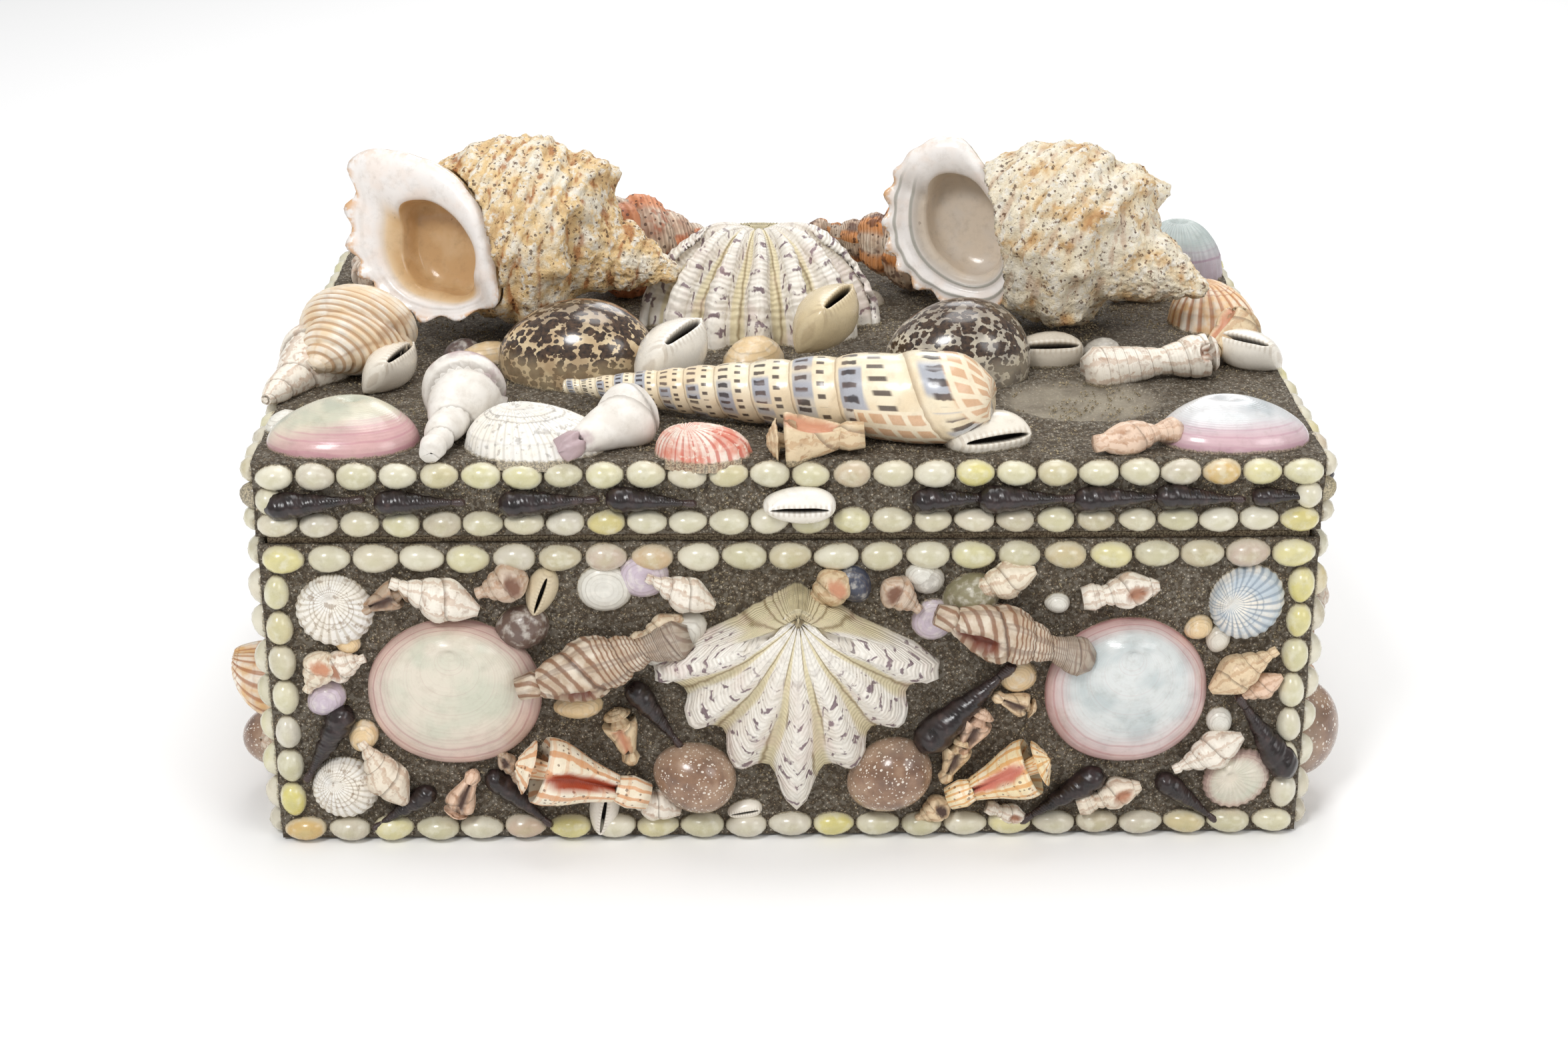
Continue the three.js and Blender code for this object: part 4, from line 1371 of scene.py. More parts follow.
def fan_outline(facing, spread, long, wide, back, pointed, folds, scallop=0.035, count=168):
    """The margin of a ribbed fan round its umbo at the origin: its sides are straight, back mm
    behind the ray at the edge of its spread."""
    rim = []
    for i in range(count):
        angle = TURN * i / count
        off = abs((angle - facing + math.pi) % TURN - math.pi)
        if off > spread:
            reach = min(wide, back / math.sin(min(off - spread, math.pi / 2)))
        else:
            side = off / spread
            arc = long + (wide - long) * side * side
            chord = long * wide * math.sin(spread)
            chord /= long * math.sin(off) + wide * math.sin(spread - off)
            reach = arc + (chord - arc) * pointed
            reach *= 1 + scallop * math.cos(side * math.pi * folds)
        rim.append((reach * math.cos(angle), reach * math.sin(angle)))
    return rim


def bear_paw_shell(node, face, facing, spread, long, wide, back, pointed, rise, folds, edge):
    rim = fan_outline(facing, spread, long, wide, back, pointed, folds)
    piece = fan(node + "_shell", rim, (0, 0), rise, rings=30, peak=0.55, fullness=1.7, edge=edge)
    places = points(piece)
    grow = read_mark(piece, "grow")
    angle = np.arctan2(places[:, 1], places[:, 0])
    off = (angle - facing + math.pi) % TURN - math.pi
    side = off / spread + 0.02 * np.sin(grow * 9)
    inside = eased(1.2, 0.95, np.abs(side))
    wave = np.cos(side * math.pi * folds)
    fold = inside * eased(0.0, 0.55, 0.5 + 0.5 * wave)
    ridge = np.sign(wave) * np.abs(wave) ** 0.6
    height = rise * 0.08 * inside * ridge * eased(0.03, 0.7, grow)
    fine = 0.4 * np.cos(off * 52) * eased(0.15, 0.5, grow)
    scales = 0.6 * np.cos(grow * 75 + 2 * fold) * fold * eased(0.3, 0.7, grow)
    raise_by(piece, height + fine + scales)
    mark(piece, "fold", fold)
    mark(piece, "ray", off)
    roughen(piece, 9.0, 0.8)
    smooth(piece)
    seat(piece, face, FINISH["bear_paw"], [node], fit=node)


def smooth_clam(node, face, half, rise, turn, umbo, finish, peak=0.4, point=0.12):
    rim = oval(*half, count=64, squareness=2.15, point=point)
    piece = fan(node + "_shell", rim, umbo, rise, rings=18, peak=peak, fullness=2.0, edge=0.72)
    roughen(piece, 14.0, 0.5)
    refine(smooth(piece))
    turn_and_set(piece, (0, 0), turn)
    seat(piece, face, FINISH[finish], [node], fit=node)


def marlinspike_shell(node, face, tip, butt):
    length = (Vector(butt) - Vector(tip)).length
    girth = ((0, 0.008), (0.1, 0.03), (0.25, 0.052), (0.5, 0.081), (0.74, 0.105), (0.87, 0.113),
             (0.95, 0.097), (1, 0.05))
    made = Spire(node + "_shell", length, girth, whorls=11, body_from=0.74, quicken=4, rings=9,
                 body_rings=16, around=44)
    raise_by(made.piece, made.suture(0.07, 0.05))
    roughen(made.piece, 12.0, 0.5)
    smooth(made.piece)
    lay(made.piece, tip, butt)
    seat(made.piece, face, FINISH["marlinspike"], [node], fit=node)


def triton_shell(node, face, tip, butt, finish):
    length = (Vector(butt) - Vector(tip)).length
    girth = ((0, 0.015), (0.15, 0.07), (0.4, 0.17), (0.62, 0.25), (0.78, 0.27), (0.9, 0.2), (1, 0.08))
    made = Spire(node + "_shell", length, girth, whorls=5, body_from=0.66, quicken=5, rings=12,
                 body_rings=18, around=56)
    beads = 0.5 + 0.5 * np.cos(TURN * 5 * made.across) * np.cos(TURN * 16 * made.angle)
    varix = np.clip(np.cos(TURN * (made.angle * 3 + made.whorl * 0.31)), 0, 1) ** 4
    raise_by(made.piece, made.suture(0.16, 0.12) + made.radius * (0.05 * beads + 0.11 * varix))
    roughen(made.piece, 3.5, 1.6)
    smooth(made.piece)
    lay(made.piece, tip, butt)
    seat(made.piece, face, FINISH[finish], [node], fit=node)


def whelk_shell(node, face, tip, butt, roll, finish="whelk"):
    length = (Vector(butt) - Vector(tip)).length
    girth = ((0, 0.01), (0.2, 0.075), (0.42, 0.16), (0.58, 0.19), (0.74, 0.145), (0.9, 0.07), (1, 0.04))
    made = Spire(node + "_shell", length, girth, whorls=5, body_from=0.5, quicken=5, rings=9,
                 body_rings=18, around=40)
    cords = np.cos(TURN * 6 * made.across)
    ribs = np.cos(TURN * 12 * made.angle) * eased(0.8, 0.5, made.share)
    near = made.mouth(0.72, 0.0, 0.15, 0.065, lean=0.25)
    relief = made.suture(0.13, 0.09) + made.radius * (0.02 * cords + 0.045 * ribs)
    raise_by(made.piece, relief + made.open_mouth(near, 0.075 * length, 0.02 * length))
    roughen(made.piece, 4.0, 0.6)
    smooth(made.piece)
    lay(made.piece, tip, butt, roll)
    seat(made.piece, face, FINISH[finish], [node], fit=node)


def cone(name, length, around=40):
    """A cone shell, blunt spire at the start, with its long slit of a mouth."""
    girth = ((0, 0.02), (0.06, 0.13), (0.12, 0.225), (0.2, 0.255), (0.6, 0.15), (1, 0.045))
    made = Spire(name, length, girth, whorls=4, body_from=0.15, quicken=4, rings=5, body_rings=22,
                 around=around)
    near = made.mouth(0.58, 0.0, 0.42, 0.06, lean=0.06)
    raise_by(made.piece, made.suture(0.05, 0.02) + made.open_mouth(near, 0.1 * length, 0.012 * length))
    return made.piece


def cone_piece(node, face, tip, butt, roll, finish):
    piece = cone(node + "_shell", (Vector(butt) - Vector(tip)).length)
    roughen(piece, 6.0, 0.5)
    smooth(piece)
    lay(piece, tip, butt, roll)
    seat(piece, face, FINISH[finish], [node], fit=node)


def behind_mouth(piece, to_mouth, lip):
    """Presses a body back so that it lies behind its flared mouth."""
    places = points(piece)
    matrix = np.array(to_mouth)
    local = places @ matrix[:3, :3].T + matrix[:3, 3]
    angle = np.degrees(np.arctan2(local[:, 1], local[:, 0])) % 360
    reach = np.interp(angle, np.linspace(0, 360, 73), np.append(round_outline(lip, 72), lip[0][1]))
    share = np.hypot(local[:, 0], local[:, 1]) / reach
    shares, depths = zip(*OUTER_LIP)
    deepest = np.interp(share, (0, *shares, 1.06), (-46, *(d - 4 for d in depths), -2))
    local[:, 2] = np.where(share < 1.06, np.minimum(local[:, 2], deepest), local[:, 2])
    back = np.array(to_mouth.inverted())
    set_points(piece, local @ back[:3, :3].T + back[:3, 3])


def frog(node, tip, butt, mouth_at, facing, lip, throat, throat_at, folds, cords, finish):
    """A frog shell on its side, its spire behind and its flared mouth turned to the front."""
    length = (Vector(butt) - Vector(tip)).length
    girth = ((0, 0.02), (0.1, 0.08), (0.2, 0.135), (0.3, 0.18), (0.35, 0.24), (0.41, 0.335),
             (0.52, 0.365), (0.68, 0.345), (0.84, 0.27), (1, 0.1))
    made = Spire(node + "_body", length, girth, whorls=4, body_from=0.35, quicken=3, rings=9,
                 body_rings=58, around=86)
    turn, share = made.angle, made.share
    wander = 0.3 * np.sin(TURN * turn + share * 8) + 0.22 * np.sin(TURN * 3 * turn + share * 21)
    cord = 0.5 + 0.5 * np.cos(TURN * (share * cords + wander))
    beads = cord * (0.5 + 0.5 * np.cos(TURN * (turn * 17 + 0.8 * np.sin(TURN * share * 4.3 + turn))))
    crown = bump(share - 0.4, 0.035) + 0.45 * bump(share - 0.6, 0.04) + 0.3 * bump(share - 0.8, 0.04)
    knobs = crown * np.clip(np.cos(TURN * 8 * turn), 0, 1) ** 3
    varix = np.clip(np.cos(TURN * (turn * 2 + 0.2)), 0, 1) ** 8
    relief = 0.045 * cord + 0.02 * beads + 0.16 * knobs + 0.06 * varix
    raise_by(made.piece, made.suture(0.1, 0.05) + made.radius * relief)
    mark(made.piece, "depth", np.zeros(len(made.piece.data.vertices)))
    mark(made.piece, "fold", cord)
    refine(made.piece)
    roughen(made.piece, 9.0, 3.6)
    roughen(made.piece, 3.0, 3.0, shift=17.0)
    roughen(made.piece, 1.3, 1.2, shift=31.0)
    lay(made.piece, tip, butt)
    funnel = mouth_funnel(node + "_mouth", lip, throat, throat_at, folds)
    mark(funnel, "share", np.ones(len(funnel.data.vertices)))
    out = Vector(facing).normalized()
    side = Vector((0, 0, 1)).cross(out).normalized()
    turn = Matrix((side, out.cross(side), out)).transposed().to_4x4()
    pose = Matrix.Translation(mouth_at) @ turn
    behind_mouth(made.piece, pose.inverted(), lip)
    funnel.data.transform(pose)
    piece = joined(node + "_shell", [made.piece, funnel])
    smooth(piece)
    seat(piece, "top", FINISH[finish], [node], fit=node)


# Outlines round a frog shell's mouth: (degrees from the right, radius in mm).
LEFT_LIP = ((0, 38), (30, 36), (55, 37), (80, 42), (105, 49), (125, 59), (138, 64), (150, 54),
            (180, 48), (225, 46), (270, 50), (300, 52), (320, 56), (338, 45))
LEFT_THROAT = ((0, 23), (40, 21), (75, 24), (110, 31), (135, 34), (160, 27), (200, 25), (240, 27),
               (270, 26), (300, 30), (330, 26))
RIGHT_LIP = ((10, 33), (37, 31), (67, 36), (92, 48), (116, 46), (150, 40), (180, 37), (233, 45),
             (270, 54), (302, 62), (330, 46), (350, 35))
RIGHT_THROAT = ((0, 22), (45, 20), (90, 26), (120, 29), (160, 23), (200, 22), (250, 29), (290, 38),
                (330, 28))


def set_large_shells():
    frog("frog_shell_left", (-50, 14, 18), (-190, 34, 64), (-182, -6, 50), (-0.36, -0.9, 0.22),
         LEFT_LIP, LEFT_THROAT, (6, -8), ((0.5, 1.4, 0.07),), 15, "frog_tan")
    frog("frog_shell_right", (216, -34, 10), (92, 24, 60), (84, 18, 46), (-0.34, -0.92, 0.2),
         RIGHT_LIP, RIGHT_THROAT, (5, -2), ((0.3, 2.2, 0.09), (0.68, 2.6, 0.09)), 13, "frog_pale")
    triton_shell("triton_left", "top", (-20, 97, 22), (-104, 70, 30), "triton_pink")
    triton_shell("triton_right", "top", (14, 94, 30), (92, 66, 24), "triton_dark")
    marlinspike_shell("marlinspike", "top", (-106, -93, 8), (92, -154, 22))
    down = -math.pi / 2
    bear_paw_shell("bear_paw_lid", "top", down, 1.4, 56, 66, 14, 0.0, 47, 6, 0.6)
    bear_paw_shell("bear_paw_front", "front", down, 1.12, 98, 80, 5, 0.72, 30, 6, 0.8)
    big_cowrie("tiger_cowrie_left", "top", (39, 27), 38, -0.1, "tiger_cream")
    big_cowrie("tiger_cowrie_right", "top", (36, 27), 38, 0.08, "tiger_grey")
    smooth_clam("tellin_lid_left", "top", (36, 23), 18, 0.0, (4, 10), "tellin")
    smooth_clam("tellin_lid_right", "top", (36, 21), 17, 0.0, (-4, 9), "tellin_pale")
    smooth_clam("panel_clam_left", "front", (40.5, 37.5), 17, 0.0, (0, 27), "clam_cream")
    smooth_clam("panel_clam_right", "front", (38, 37.5), 17, 0.0, (0, 26), "clam_blue")
    whelk_shell("whelk_left", "front", (-40, 116, 8), (-126, 88, 14), 0.8)
    whelk_shell("whelk_right", "front", (146, 94, 10), (66, 120, 10), 1.2)
    cone_piece("cone_left", "front", (-129, 48, 14), (-66, 25, 6), 1.2, "cone_red")
    cone_piece("cone_right", "front", (122, 46, 12), (74, 22, 6), 2.0, "cone_yellow")
    for side, turn, half in (("left", -0.35, (20.5, 17)), ("right", 0.5, (21, 17.5))):
        big_cowrie(f"brown_cowrie_{side}", "front", half, 20, turn, "brown_cowrie")
    thumb = slit_cowrie("thumb_cowrie_shell", 16.5, 9.2, 12)
    refine(smooth(thumb))
    seat(thumb, "front", FINISH["slit"], ["thumb_cowrie"], fit="thumb_cowrie", tone=0.1)
    corded_shell("tun_shell", "top", (-228, -80, 8), (-196, -22, 30), 17, "tun")
    ribbed_shell("end_shell_left_upper", "left", (22, 20), 26, 0.0, (0, 14), "cockle_orange",
                 12)
    big_cowrie("end_shell_left_lower", "left", (21, 17), 25, 0.3, "brown_cowrie")
    big_cowrie("end_cowrie_right", "right", (20, 27), 26, 0.15, "brown_cowrie")


def corded_shell(node, face, tip, butt, cords, finish):
    """A globe-like shell with strong cords round it."""
    length = (Vector(butt) - Vector(tip)).length
    girth = ((0, 0.03), (0.1, 0.14), (0.25, 0.27), (0.5, 0.43), (0.75, 0.44), (0.92, 0.3), (1, 0.12))
    made = Spire(node + "_shell", length, girth, whorls=3, body_from=0.26, quicken=3, rings=9,
                 body_rings=74, around=48)
    wave = np.cos(TURN * cords * made.share)
    raise_by(made.piece, made.suture(0.12, 0.05) + made.radius * 0.035 * wave * eased(0.2, 0.3, made.share))
    mark(made.piece, "fold", 0.5 + 0.5 * wave)
    mark(made.piece, "grow", made.angle)
    smooth(made.piece)
    lay(made.piece, tip, butt)
    seat(made.piece, face, FINISH[finish], [node], fit=node)


def ribbed(name, half, rise, umbo, ribs, depth=0.03, count=96, rings=16):
    """A cockle: ribs that fan out from its umbo over a rounded back."""
    rim = oval(*half, count=count, point=0.1)
    piece = fan(name, rim, umbo, rise, rings=rings, peak=0.35, fullness=2.0)
    ray = read_mark(piece, "ray")
    grow = read_mark(piece, "grow")
    wave = np.cos(ray * ribs * 2)
    mark(piece, "fold", 0.5 + 0.5 * wave)
    raise_by(piece, wave * depth * max(half) * eased(0.0, 0.6, grow))
    return piece


def lone_spire(name, face, tip, butt, girth, whorls, body_from, suture, finish, tone, mouth=None,
               roll=0.0):
    """One coiled shell between two points, with its own profile and, if given, its mouth."""
    length = (Vector(butt) - Vector(tip)).length
    made = Spire(name, length, girth, whorls=whorls, body_from=body_from, quicken=2.6, rings=12,
                 body_rings=22, around=48)
    heights = made.suture(*suture)
    if mouth:
        heights = heights + made.open_mouth(made.mouth(*mouth), 0.09 * length, 0.015 * length)
    raise_by(made.piece, heights)
    roughen(made.piece, 5.0, 0.6)
    smooth(made.piece)
    lay(made.piece, tip, butt, roll)
    seat(made.piece, face, FINISH[finish], tone=tone)


def ribbed_shell(node, face, half, rise, turn, umbo, finish, ribs):
    piece = ribbed(node + "_shell", half, rise, umbo, ribs)
    smooth(piece)
    turn_and_set(piece, (0, 0), turn)
    seat(piece, face, FINISH[finish], [node], fit=node)


# ------------------------------------------------------------------ small shells


def small_coil(name, girth, whorls, body_from, quicken, ribs, mouth, roll=0.0):
    """A small coiled shell, one unit long, centred on its middle."""
    made = Spire(name, 1.0, girth, whorls=whorls, body_from=body_from, quicken=quicken, rings=5,
                 body_rings=11, around=21 if mouth else 16)
    relief = made.suture(0.16, 0.1)
    if ribs:
        relief = relief + made.radius * 0.06 * np.cos(TURN * ribs * made.angle)
    if mouth:
        relief = relief + made.open_mouth(made.mouth(*mouth), 0.09, 0.012)
    raise_by(made.piece, relief)
    made.piece.data.transform(Matrix.Translation((-0.5, 0, 0)) @ Matrix.Rotation(roll, 4, "X"))
    return smooth(made.piece)


def small_dome(name, half_y, rise, umbo, ribs=0):
    """A small round shell or pebble, half a unit to each side along X."""
    rim = oval(0.5, half_y, count=40 if ribs else 20, squareness=2.1)
    piece = fan(name, rim, umbo, rise, rings=6, peak=0.3, fullness=2.1, skirt=0.12)
    ray = read_mark(piece, "ray")
    wave = np.cos(ray * ribs) if ribs else np.zeros(len(ray))
    mark(piece, "fold", 0.5 + 0.5 * wave)
    if ribs:
        raise_by(piece, wave * 0.02 * eased(0.0, 0.6, read_mark(piece, "grow")))
    return smooth(piece)


def make_small_shells():
    """One master of each kind: the shell, its finish, a slot name that is not used, and how high it lies per unit.
    """
    whelklet = ((0, 0.02), (0.2, 0.1), (0.45, 0.21), (0.62, 0.25), (0.8, 0.17), (1, 0.05))
    stubby = ((0, 0.02), (0.2, 0.16), (0.45, 0.31), (0.68, 0.37), (0.88, 0.24), (1, 0.08))
    slender = ((0, 0.01), (0.3, 0.06), (0.6, 0.115), (0.82, 0.14), (0.93, 0.12), (1, 0.06))
    coned = ((0, 0.03), (0.08, 0.16), (0.16, 0.26), (0.26, 0.27), (0.65, 0.16), (1, 0.05))
    up = math.pi / 2
    coil = small_coil
    return {
        "whelk": (coil("small_whelk", whelklet, 4, 0.5, 4, 9, None), "spire", "small_shell", 0.16),
        "gape": (coil("open_whelk", whelklet, 5, 0.46, 4, 11, (0.7, 0.25, 0.17, 0.09)), "spire",
                 "small_shell", 0.16),
        "snail": (coil("snail", stubby, 4, 0.46, 4, 0, (0.74, 0.25, 0.15, 0.12)), "spire",
                  "small_shell", 0.2),
        "horn": (coil("black_horn", slender, 6, 0.72, 4, 12, None), "black", "black_shell", 0.09),
        "auger": (coil("pale_auger", slender, 7, 0.74, 4, 0, None), "spire", "small_shell", 0.09),
        "cone": (coil("small_cone", coned, 3, 0.18, 3, 0, (0.58, 0.25, 0.38, 0.07)), "spire",
                 "small_shell", 0.16),
        "bead": (smooth(cowrie("bead", 0.5, 0.42, 0.42, around=12, rings=8)), "pebble",
                 "small_shell", 0.0),
        "olive": (smooth(cowrie("olive", 0.5, 0.27, 0.32, around=14, rings=8)), "pebble",
                  "small_shell", 0.0),
        "disc": (small_dome("disc", 0.46, 0.2, (0, 0.05)), "pebble", "small_shell", 0.0),
        "slit": (smooth(slit_cowrie("small_slit", 0.5, 0.3, 0.3, around=24)), "slit",
                 "white_shell", 0.0),
        "clam": (small_dome("small_clam", 0.38, 0.22, (0, 0.22)), "clam_cream", "pale_clam", 0.0),
        "cockle": (small_dome("small_cockle", 0.44, 0.26, (0, 0.26), ribs=18), "cockle_white",
                   "pale_clam", 0.0),
    }


def strew(face, kind, small, spots, label=""):
    """Beds copies of one small shell on a face: each spot is u, v, length, heading in degrees
    and, where it matters, tone, height above the mortar and lean in degrees."""
    master, finish, slot, lift = small[kind]
    copies = []
    for u, v, length, heading, *more in spots:
        tone = more[0] if more else None
        height = more[1] if len(more) > 1 else lift * length
        lean = math.radians(more[2]) if len(more) > 2 else 0.0
        place = Matrix.Translation((u, v, height)) @ Matrix.Rotation(math.radians(heading), 4, "Z")
        place = place @ Matrix.Rotation(lean, 4, "X")
        copies.append(copy_of(master, place @ Matrix.Diagonal((length, length, length, 1)), tone))
    piece = joined(f"{face}_{kind}_shells{label}", copies)
    seat(piece, face, FINISH[finish])


FRONT_SPOTS = {
    "cone": ((-185.5, 128, 26, 205, 0.75), (-154, 26, 27, 65, 0.88), (-78, 57, 30, 285, 0.2),
             (105, 72, 22, 160, 0.6), (77, 43, 26, 250, 0.62), (85, 57, 28, 245, 0.88)),
    "whelk": ((-162, 130, 42, 340, 0.35), (96, 135, 34, 20, 0.0), (197, 46, 36, 30, 0.35),
              (-191, 39, 38, 300, 0.3), (210.5, 89, 36, 215, 0.6), (-66, 21, 30, 340, 0.35),
              (219, 79, 24, 30, 0.88), (-50, 131, 34, 335, 0.35)),
    "gape": ((-60.6, 111, 26, 30, 0.1), (152, 129.5, 34, 10, 0.35), (152, 23, 30, 20, 0.3),
             (103.5, 13, 20, 340, 0.35), (-132, 40.6, 18, 120, 0.75)),
    "snail": ((-131.6, 135, 25, 20, 0.5), (17, 130.6, 24, 40, 0.2), (-218.5, 91, 22, 60, 0.0),
              (-205.6, 94.6, 20, 200, 0.35), (51, 127.6, 22, 140, 0.5), (68, 15, 18, 30, 0.6)),
    "slit": ((-114, 130, 24, 70, 0.8), (-88.5, 15, 24, 80, 0.2), (-21.5, 15, 17, 10, 0.3)),
    "disc": ((-85, 131, 26, 0, 0.55), (66, 114, 22, 60, 0.42), (106.5, 84, 18, 20, 0.3),
             (-67, 137, 24, 10, 0.42)),
    "bead": ((-216, 76, 20, 40, 0.42), (-200, 56, 17, 70, 0.3), (123, 122, 12, 0, 0.55),
             (189, 109, 14, 30, 0.3), (198.5, 103, 14, 80, 0.0), (202, 60, 15, 100, 0.55),
             (63, 134, 16, 20, 0.15), (60, 137, 15, 0, 0.55), (-123.6, 112, 26, 20, 0.8),
             (83, 126, 27, 15, 0.68), (29, 132.5, 20, 120, 0.9), (-204, 104, 12, 0, 0.3)),
    "olive": ((-99, 71, 24, 5, 0.3), (-53.5, 105, 36, 40, 0.55)),
    "horn": ((-217, 53, 44, 60), (-183, 18, 36, 35), (-128, 23, 40, 135), (-63, 67, 40, 125),
             (82, 71, 60, 225), (129, 22, 46, 35), (189, 20, 38, 140), (223, 54, 50, 303)),
}
LID_BAND = ((-214, 44, 5), (-167, 40, 0), (-109, 44, 3), (-63, 40, -4), (75, 40, 3), (107, 44, 0),
            (149, 42, 2), (185, 40, -3), (224, 30, 0))
TOP_SPOTS = {
    "slit": ((-192, -66, 37, 72, 0.35, 9, 38), (-56, -72, 50, 66, 0.2, 17, 30),
             (19, -52, 48, 68, 0.75, 28, 30), (129.5, -37, 37, 5, 0.9, 4, 50),
             (90, -148, 40, 22, 0.35, 3, 75), (229, -46, 34, 140, 0.2, 8, -40)),
    "bead": ((159, -26, 20, 0, 0.15), (-161, -22, 20, 20, 0.82), (-16, -39, 34, 40, 0.3)),
    "olive": ((-148, -30, 30, 10, 0.3), (-235, -120, 22, 60, 0.55)),
}
BACK_TOP_SPOTS = {
    "whelk": ((-190, 130, 40, 30), (-60, 140, 36, 200), (70, 138, 42, 150), (160, 120, 38, 320)),
    "snail": ((-130, 125, 30, 80), (10, 140, 28, 200), (120, 140, 30, 40)),
    "cone": ((-225, 100, 36, 110), (190, 60, 36, 200)),
    "disc": ((-225, 50, 34, 0), (40, 60, 30, 10)),
    "olive": ((-160, 90, 34, 60), (-30, 140, 30, 10), (215, 140, 32, 40)),
}


def set_named_small_shells(small):
    for kind, spots in FRONT_SPOTS.items():
        strew("front", kind, small, spots)
    for kind, spots in TOP_SPOTS.items():
        strew("top", kind, small, spots)
    for kind, spots in BACK_TOP_SPOTS.items():
        strew("top", kind, small, spots, "_behind")
    band = span("lid_front_upper_cowrie_row", "front")[0].y
    band = (band + span("lid_front_lower_cowrie_row", "front")[1].y) / 2
    strew("front", "horn", small, [(u, band, length, 180 + turn) for u, length, turn in LID_BAND], "_band")


FRONT_COCKLES = (  # name, finish, u, v, half sizes, rise, turn in degrees, umbo
    ("upper_left", "cockle_white", -209, 121, (18, 18), 12, 0, (0, 10)),
    ("upper_right", "cockle_blue", 210.6, 122, (19, 17.5), 12, 70, (0, 10)),
    ("lower_left", "cockle_white", -210, 29, (16, 16), 12, 30, (0, 8)),
    ("lower_right", "clam_cream", 212, 30, (17, 15), 11, 40, (0, 8)),
)
LID_COCKLES = (
    ("white_clam", "speckled", -115, -148, (33, 22), 17, 0, (-12, 12)),
    ("red_scallop", "scallop_red", -39, -158, (22, 15), 15, 0, (-8, -6)),
    ("orange_cockle", "cockle_orange", 222, 20, (23, 20), 20, -28, (-10, 12)),
    ("grey_clam", "clam_grey", 218, 104, (24, 20), 30, 0, (0, 8)),
)


def set_cockles():
    top = "top"
    stepped = ((0, 0.03), (0.15, 0.085), (0.4, 0.13), (0.58, 0.2), (0.78, 0.27), (0.92, 0.2), (1, 0.08))
    lone_spire("turban_shell", top, (-161, -168, 5), (-147, -100, 17), stepped, 3, 0.6, (0.16, 0.16),
               "turban", 0.3)
    horn = ((0, 0.012), (0.3, 0.06), (0.6, 0.12), (0.84, 0.172), (0.94, 0.15), (1, 0.09))
    lone_spire("white_horn", top, (150, -64, 5), (211, -60, 12), horn, 8, 0.8, (0.07, 0.03),
               "spire", 0.35, (0.87, 0.42, 0.055, 0.07))
    slope = ((0, 0.04), (0.06, 0.15), (0.13, 0.25), (0.2, 0.28), (0.5, 0.2), (0.8, 0.11), (1, 0.04))
    lone_spire("small_conch", top, (-63, -132, 14), (-103, -167, 5), slope, 3, 0.14, (0.1, 0.02),
               "turban", 0.2, (0.55, 0.62, 0.42, 0.09))
    whelky = ((0, 0.015), (0.2, 0.08), (0.4, 0.16), (0.6, 0.2), (0.78, 0.14), (0.92, 0.07), (1, 0.03))
    lone_spire("front_whelk", top, (-11, -160, 6), (33, -160, 9), slope, 4, 0.16, (0.1, 0.03),
               "spire", 0.2, (0.5, 0.3, 0.34, 0.1))
    lone_spire("pink_whelk", top, (175, -151, 7), (137, -165, 6), whelky, 5, 0.42, (0.12, 0.06),
               "spire", 0.9, (0.7, 0.72, 0.14, 0.1))
    lone_spire("edge_shell", top, (-247, -98, 4), (-224, -34, 9), stepped, 3, 0.6, (0.1, 0.04),
               "spire", 0.35)
    lone_spire("pale_cone", top, (233, -22, 16), (205, -50, 6), slope, 3, 0.16, (0.08, 0.02),
               "spire", 0.2, (0.5, 0.3, 0.4, 0.07))
    for face, cockles in (("front", FRONT_COCKLES), ("top", LID_COCKLES)):
        for label, finish, u, v, half, rise, turn, umbo in cockles:
            ribs = 40 if label == "white_clam" else 16
            depth = 0.008 if label == "white_clam" else 0.018
            piece = ribbed(f"{face}_{label}", half, rise, umbo, ribs, depth=depth, count=120, rings=12)
            smooth(piece)
            turn_and_set(piece, (u, v), math.radians(turn))
            seat(piece, face, FINISH[finish])


SCATTER = (  # kind, how often, shortest, longest, radius for its length
    ("whelk", 5, 24, 40, 0.34), ("snail", 4, 18, 28, 0.4), ("horn", 4, 34, 50, 0.3),
    ("cone", 4, 24, 36, 0.34), ("disc", 3, 20, 34, 0.5), ("bead", 3, 12, 20, 0.5),
    ("olive", 3, 22, 32, 0.38), ("slit", 3, 18, 26, 0.4), ("clam", 3, 30, 46, 0.5),
    ("cockle", 3, 26, 40, 0.5),
)


def scatter(face, small, low, high, taken, tries, label=""):
    """Strews mixed small shells over a face, clear of each other and of what is there."""
    chosen = {}
    weights = [entry[1] for entry in SCATTER]
    for _ in range(tries):
        kind, _, least, most, share = random.choices(SCATTER, weights)[0]
        length = random.uniform(least, most)
        radius = length * share
        u = random.uniform(low[0] + radius, high[0] - radius)
        v = random.uniform(low[1] + radius, high[1] - radius)
        if all(math.hypot(u - a, v - b) > (radius + r) * 0.92 for a, b, r in taken):
            taken.append((u, v, radius))
            chosen.setdefault(kind, []).append((u, v, length, random.uniform(0, 360)))
    for kind, spots in chosen.items():
        strew(face, kind, small, spots, label)


def round_room(nodes, face):
    """Circles that cover the CAD nodes on a face."""
    circles = []
    for node in nodes:
        low, high = span(node, face)
        size = high - low
        count = max(1, round(max(size.x, size.y) / max(1, min(size.x, size.y))))
        for i in range(count):
            share = (i + 0.5) / count
            wide = size.x > size.y
            u = low.x + size.x * (share if wide else 0.5)
            v = low.y + size.y * (0.5 if wide else share)
            circles.append((u, v, min(size.x, size.y) * 0.45))
    return circles


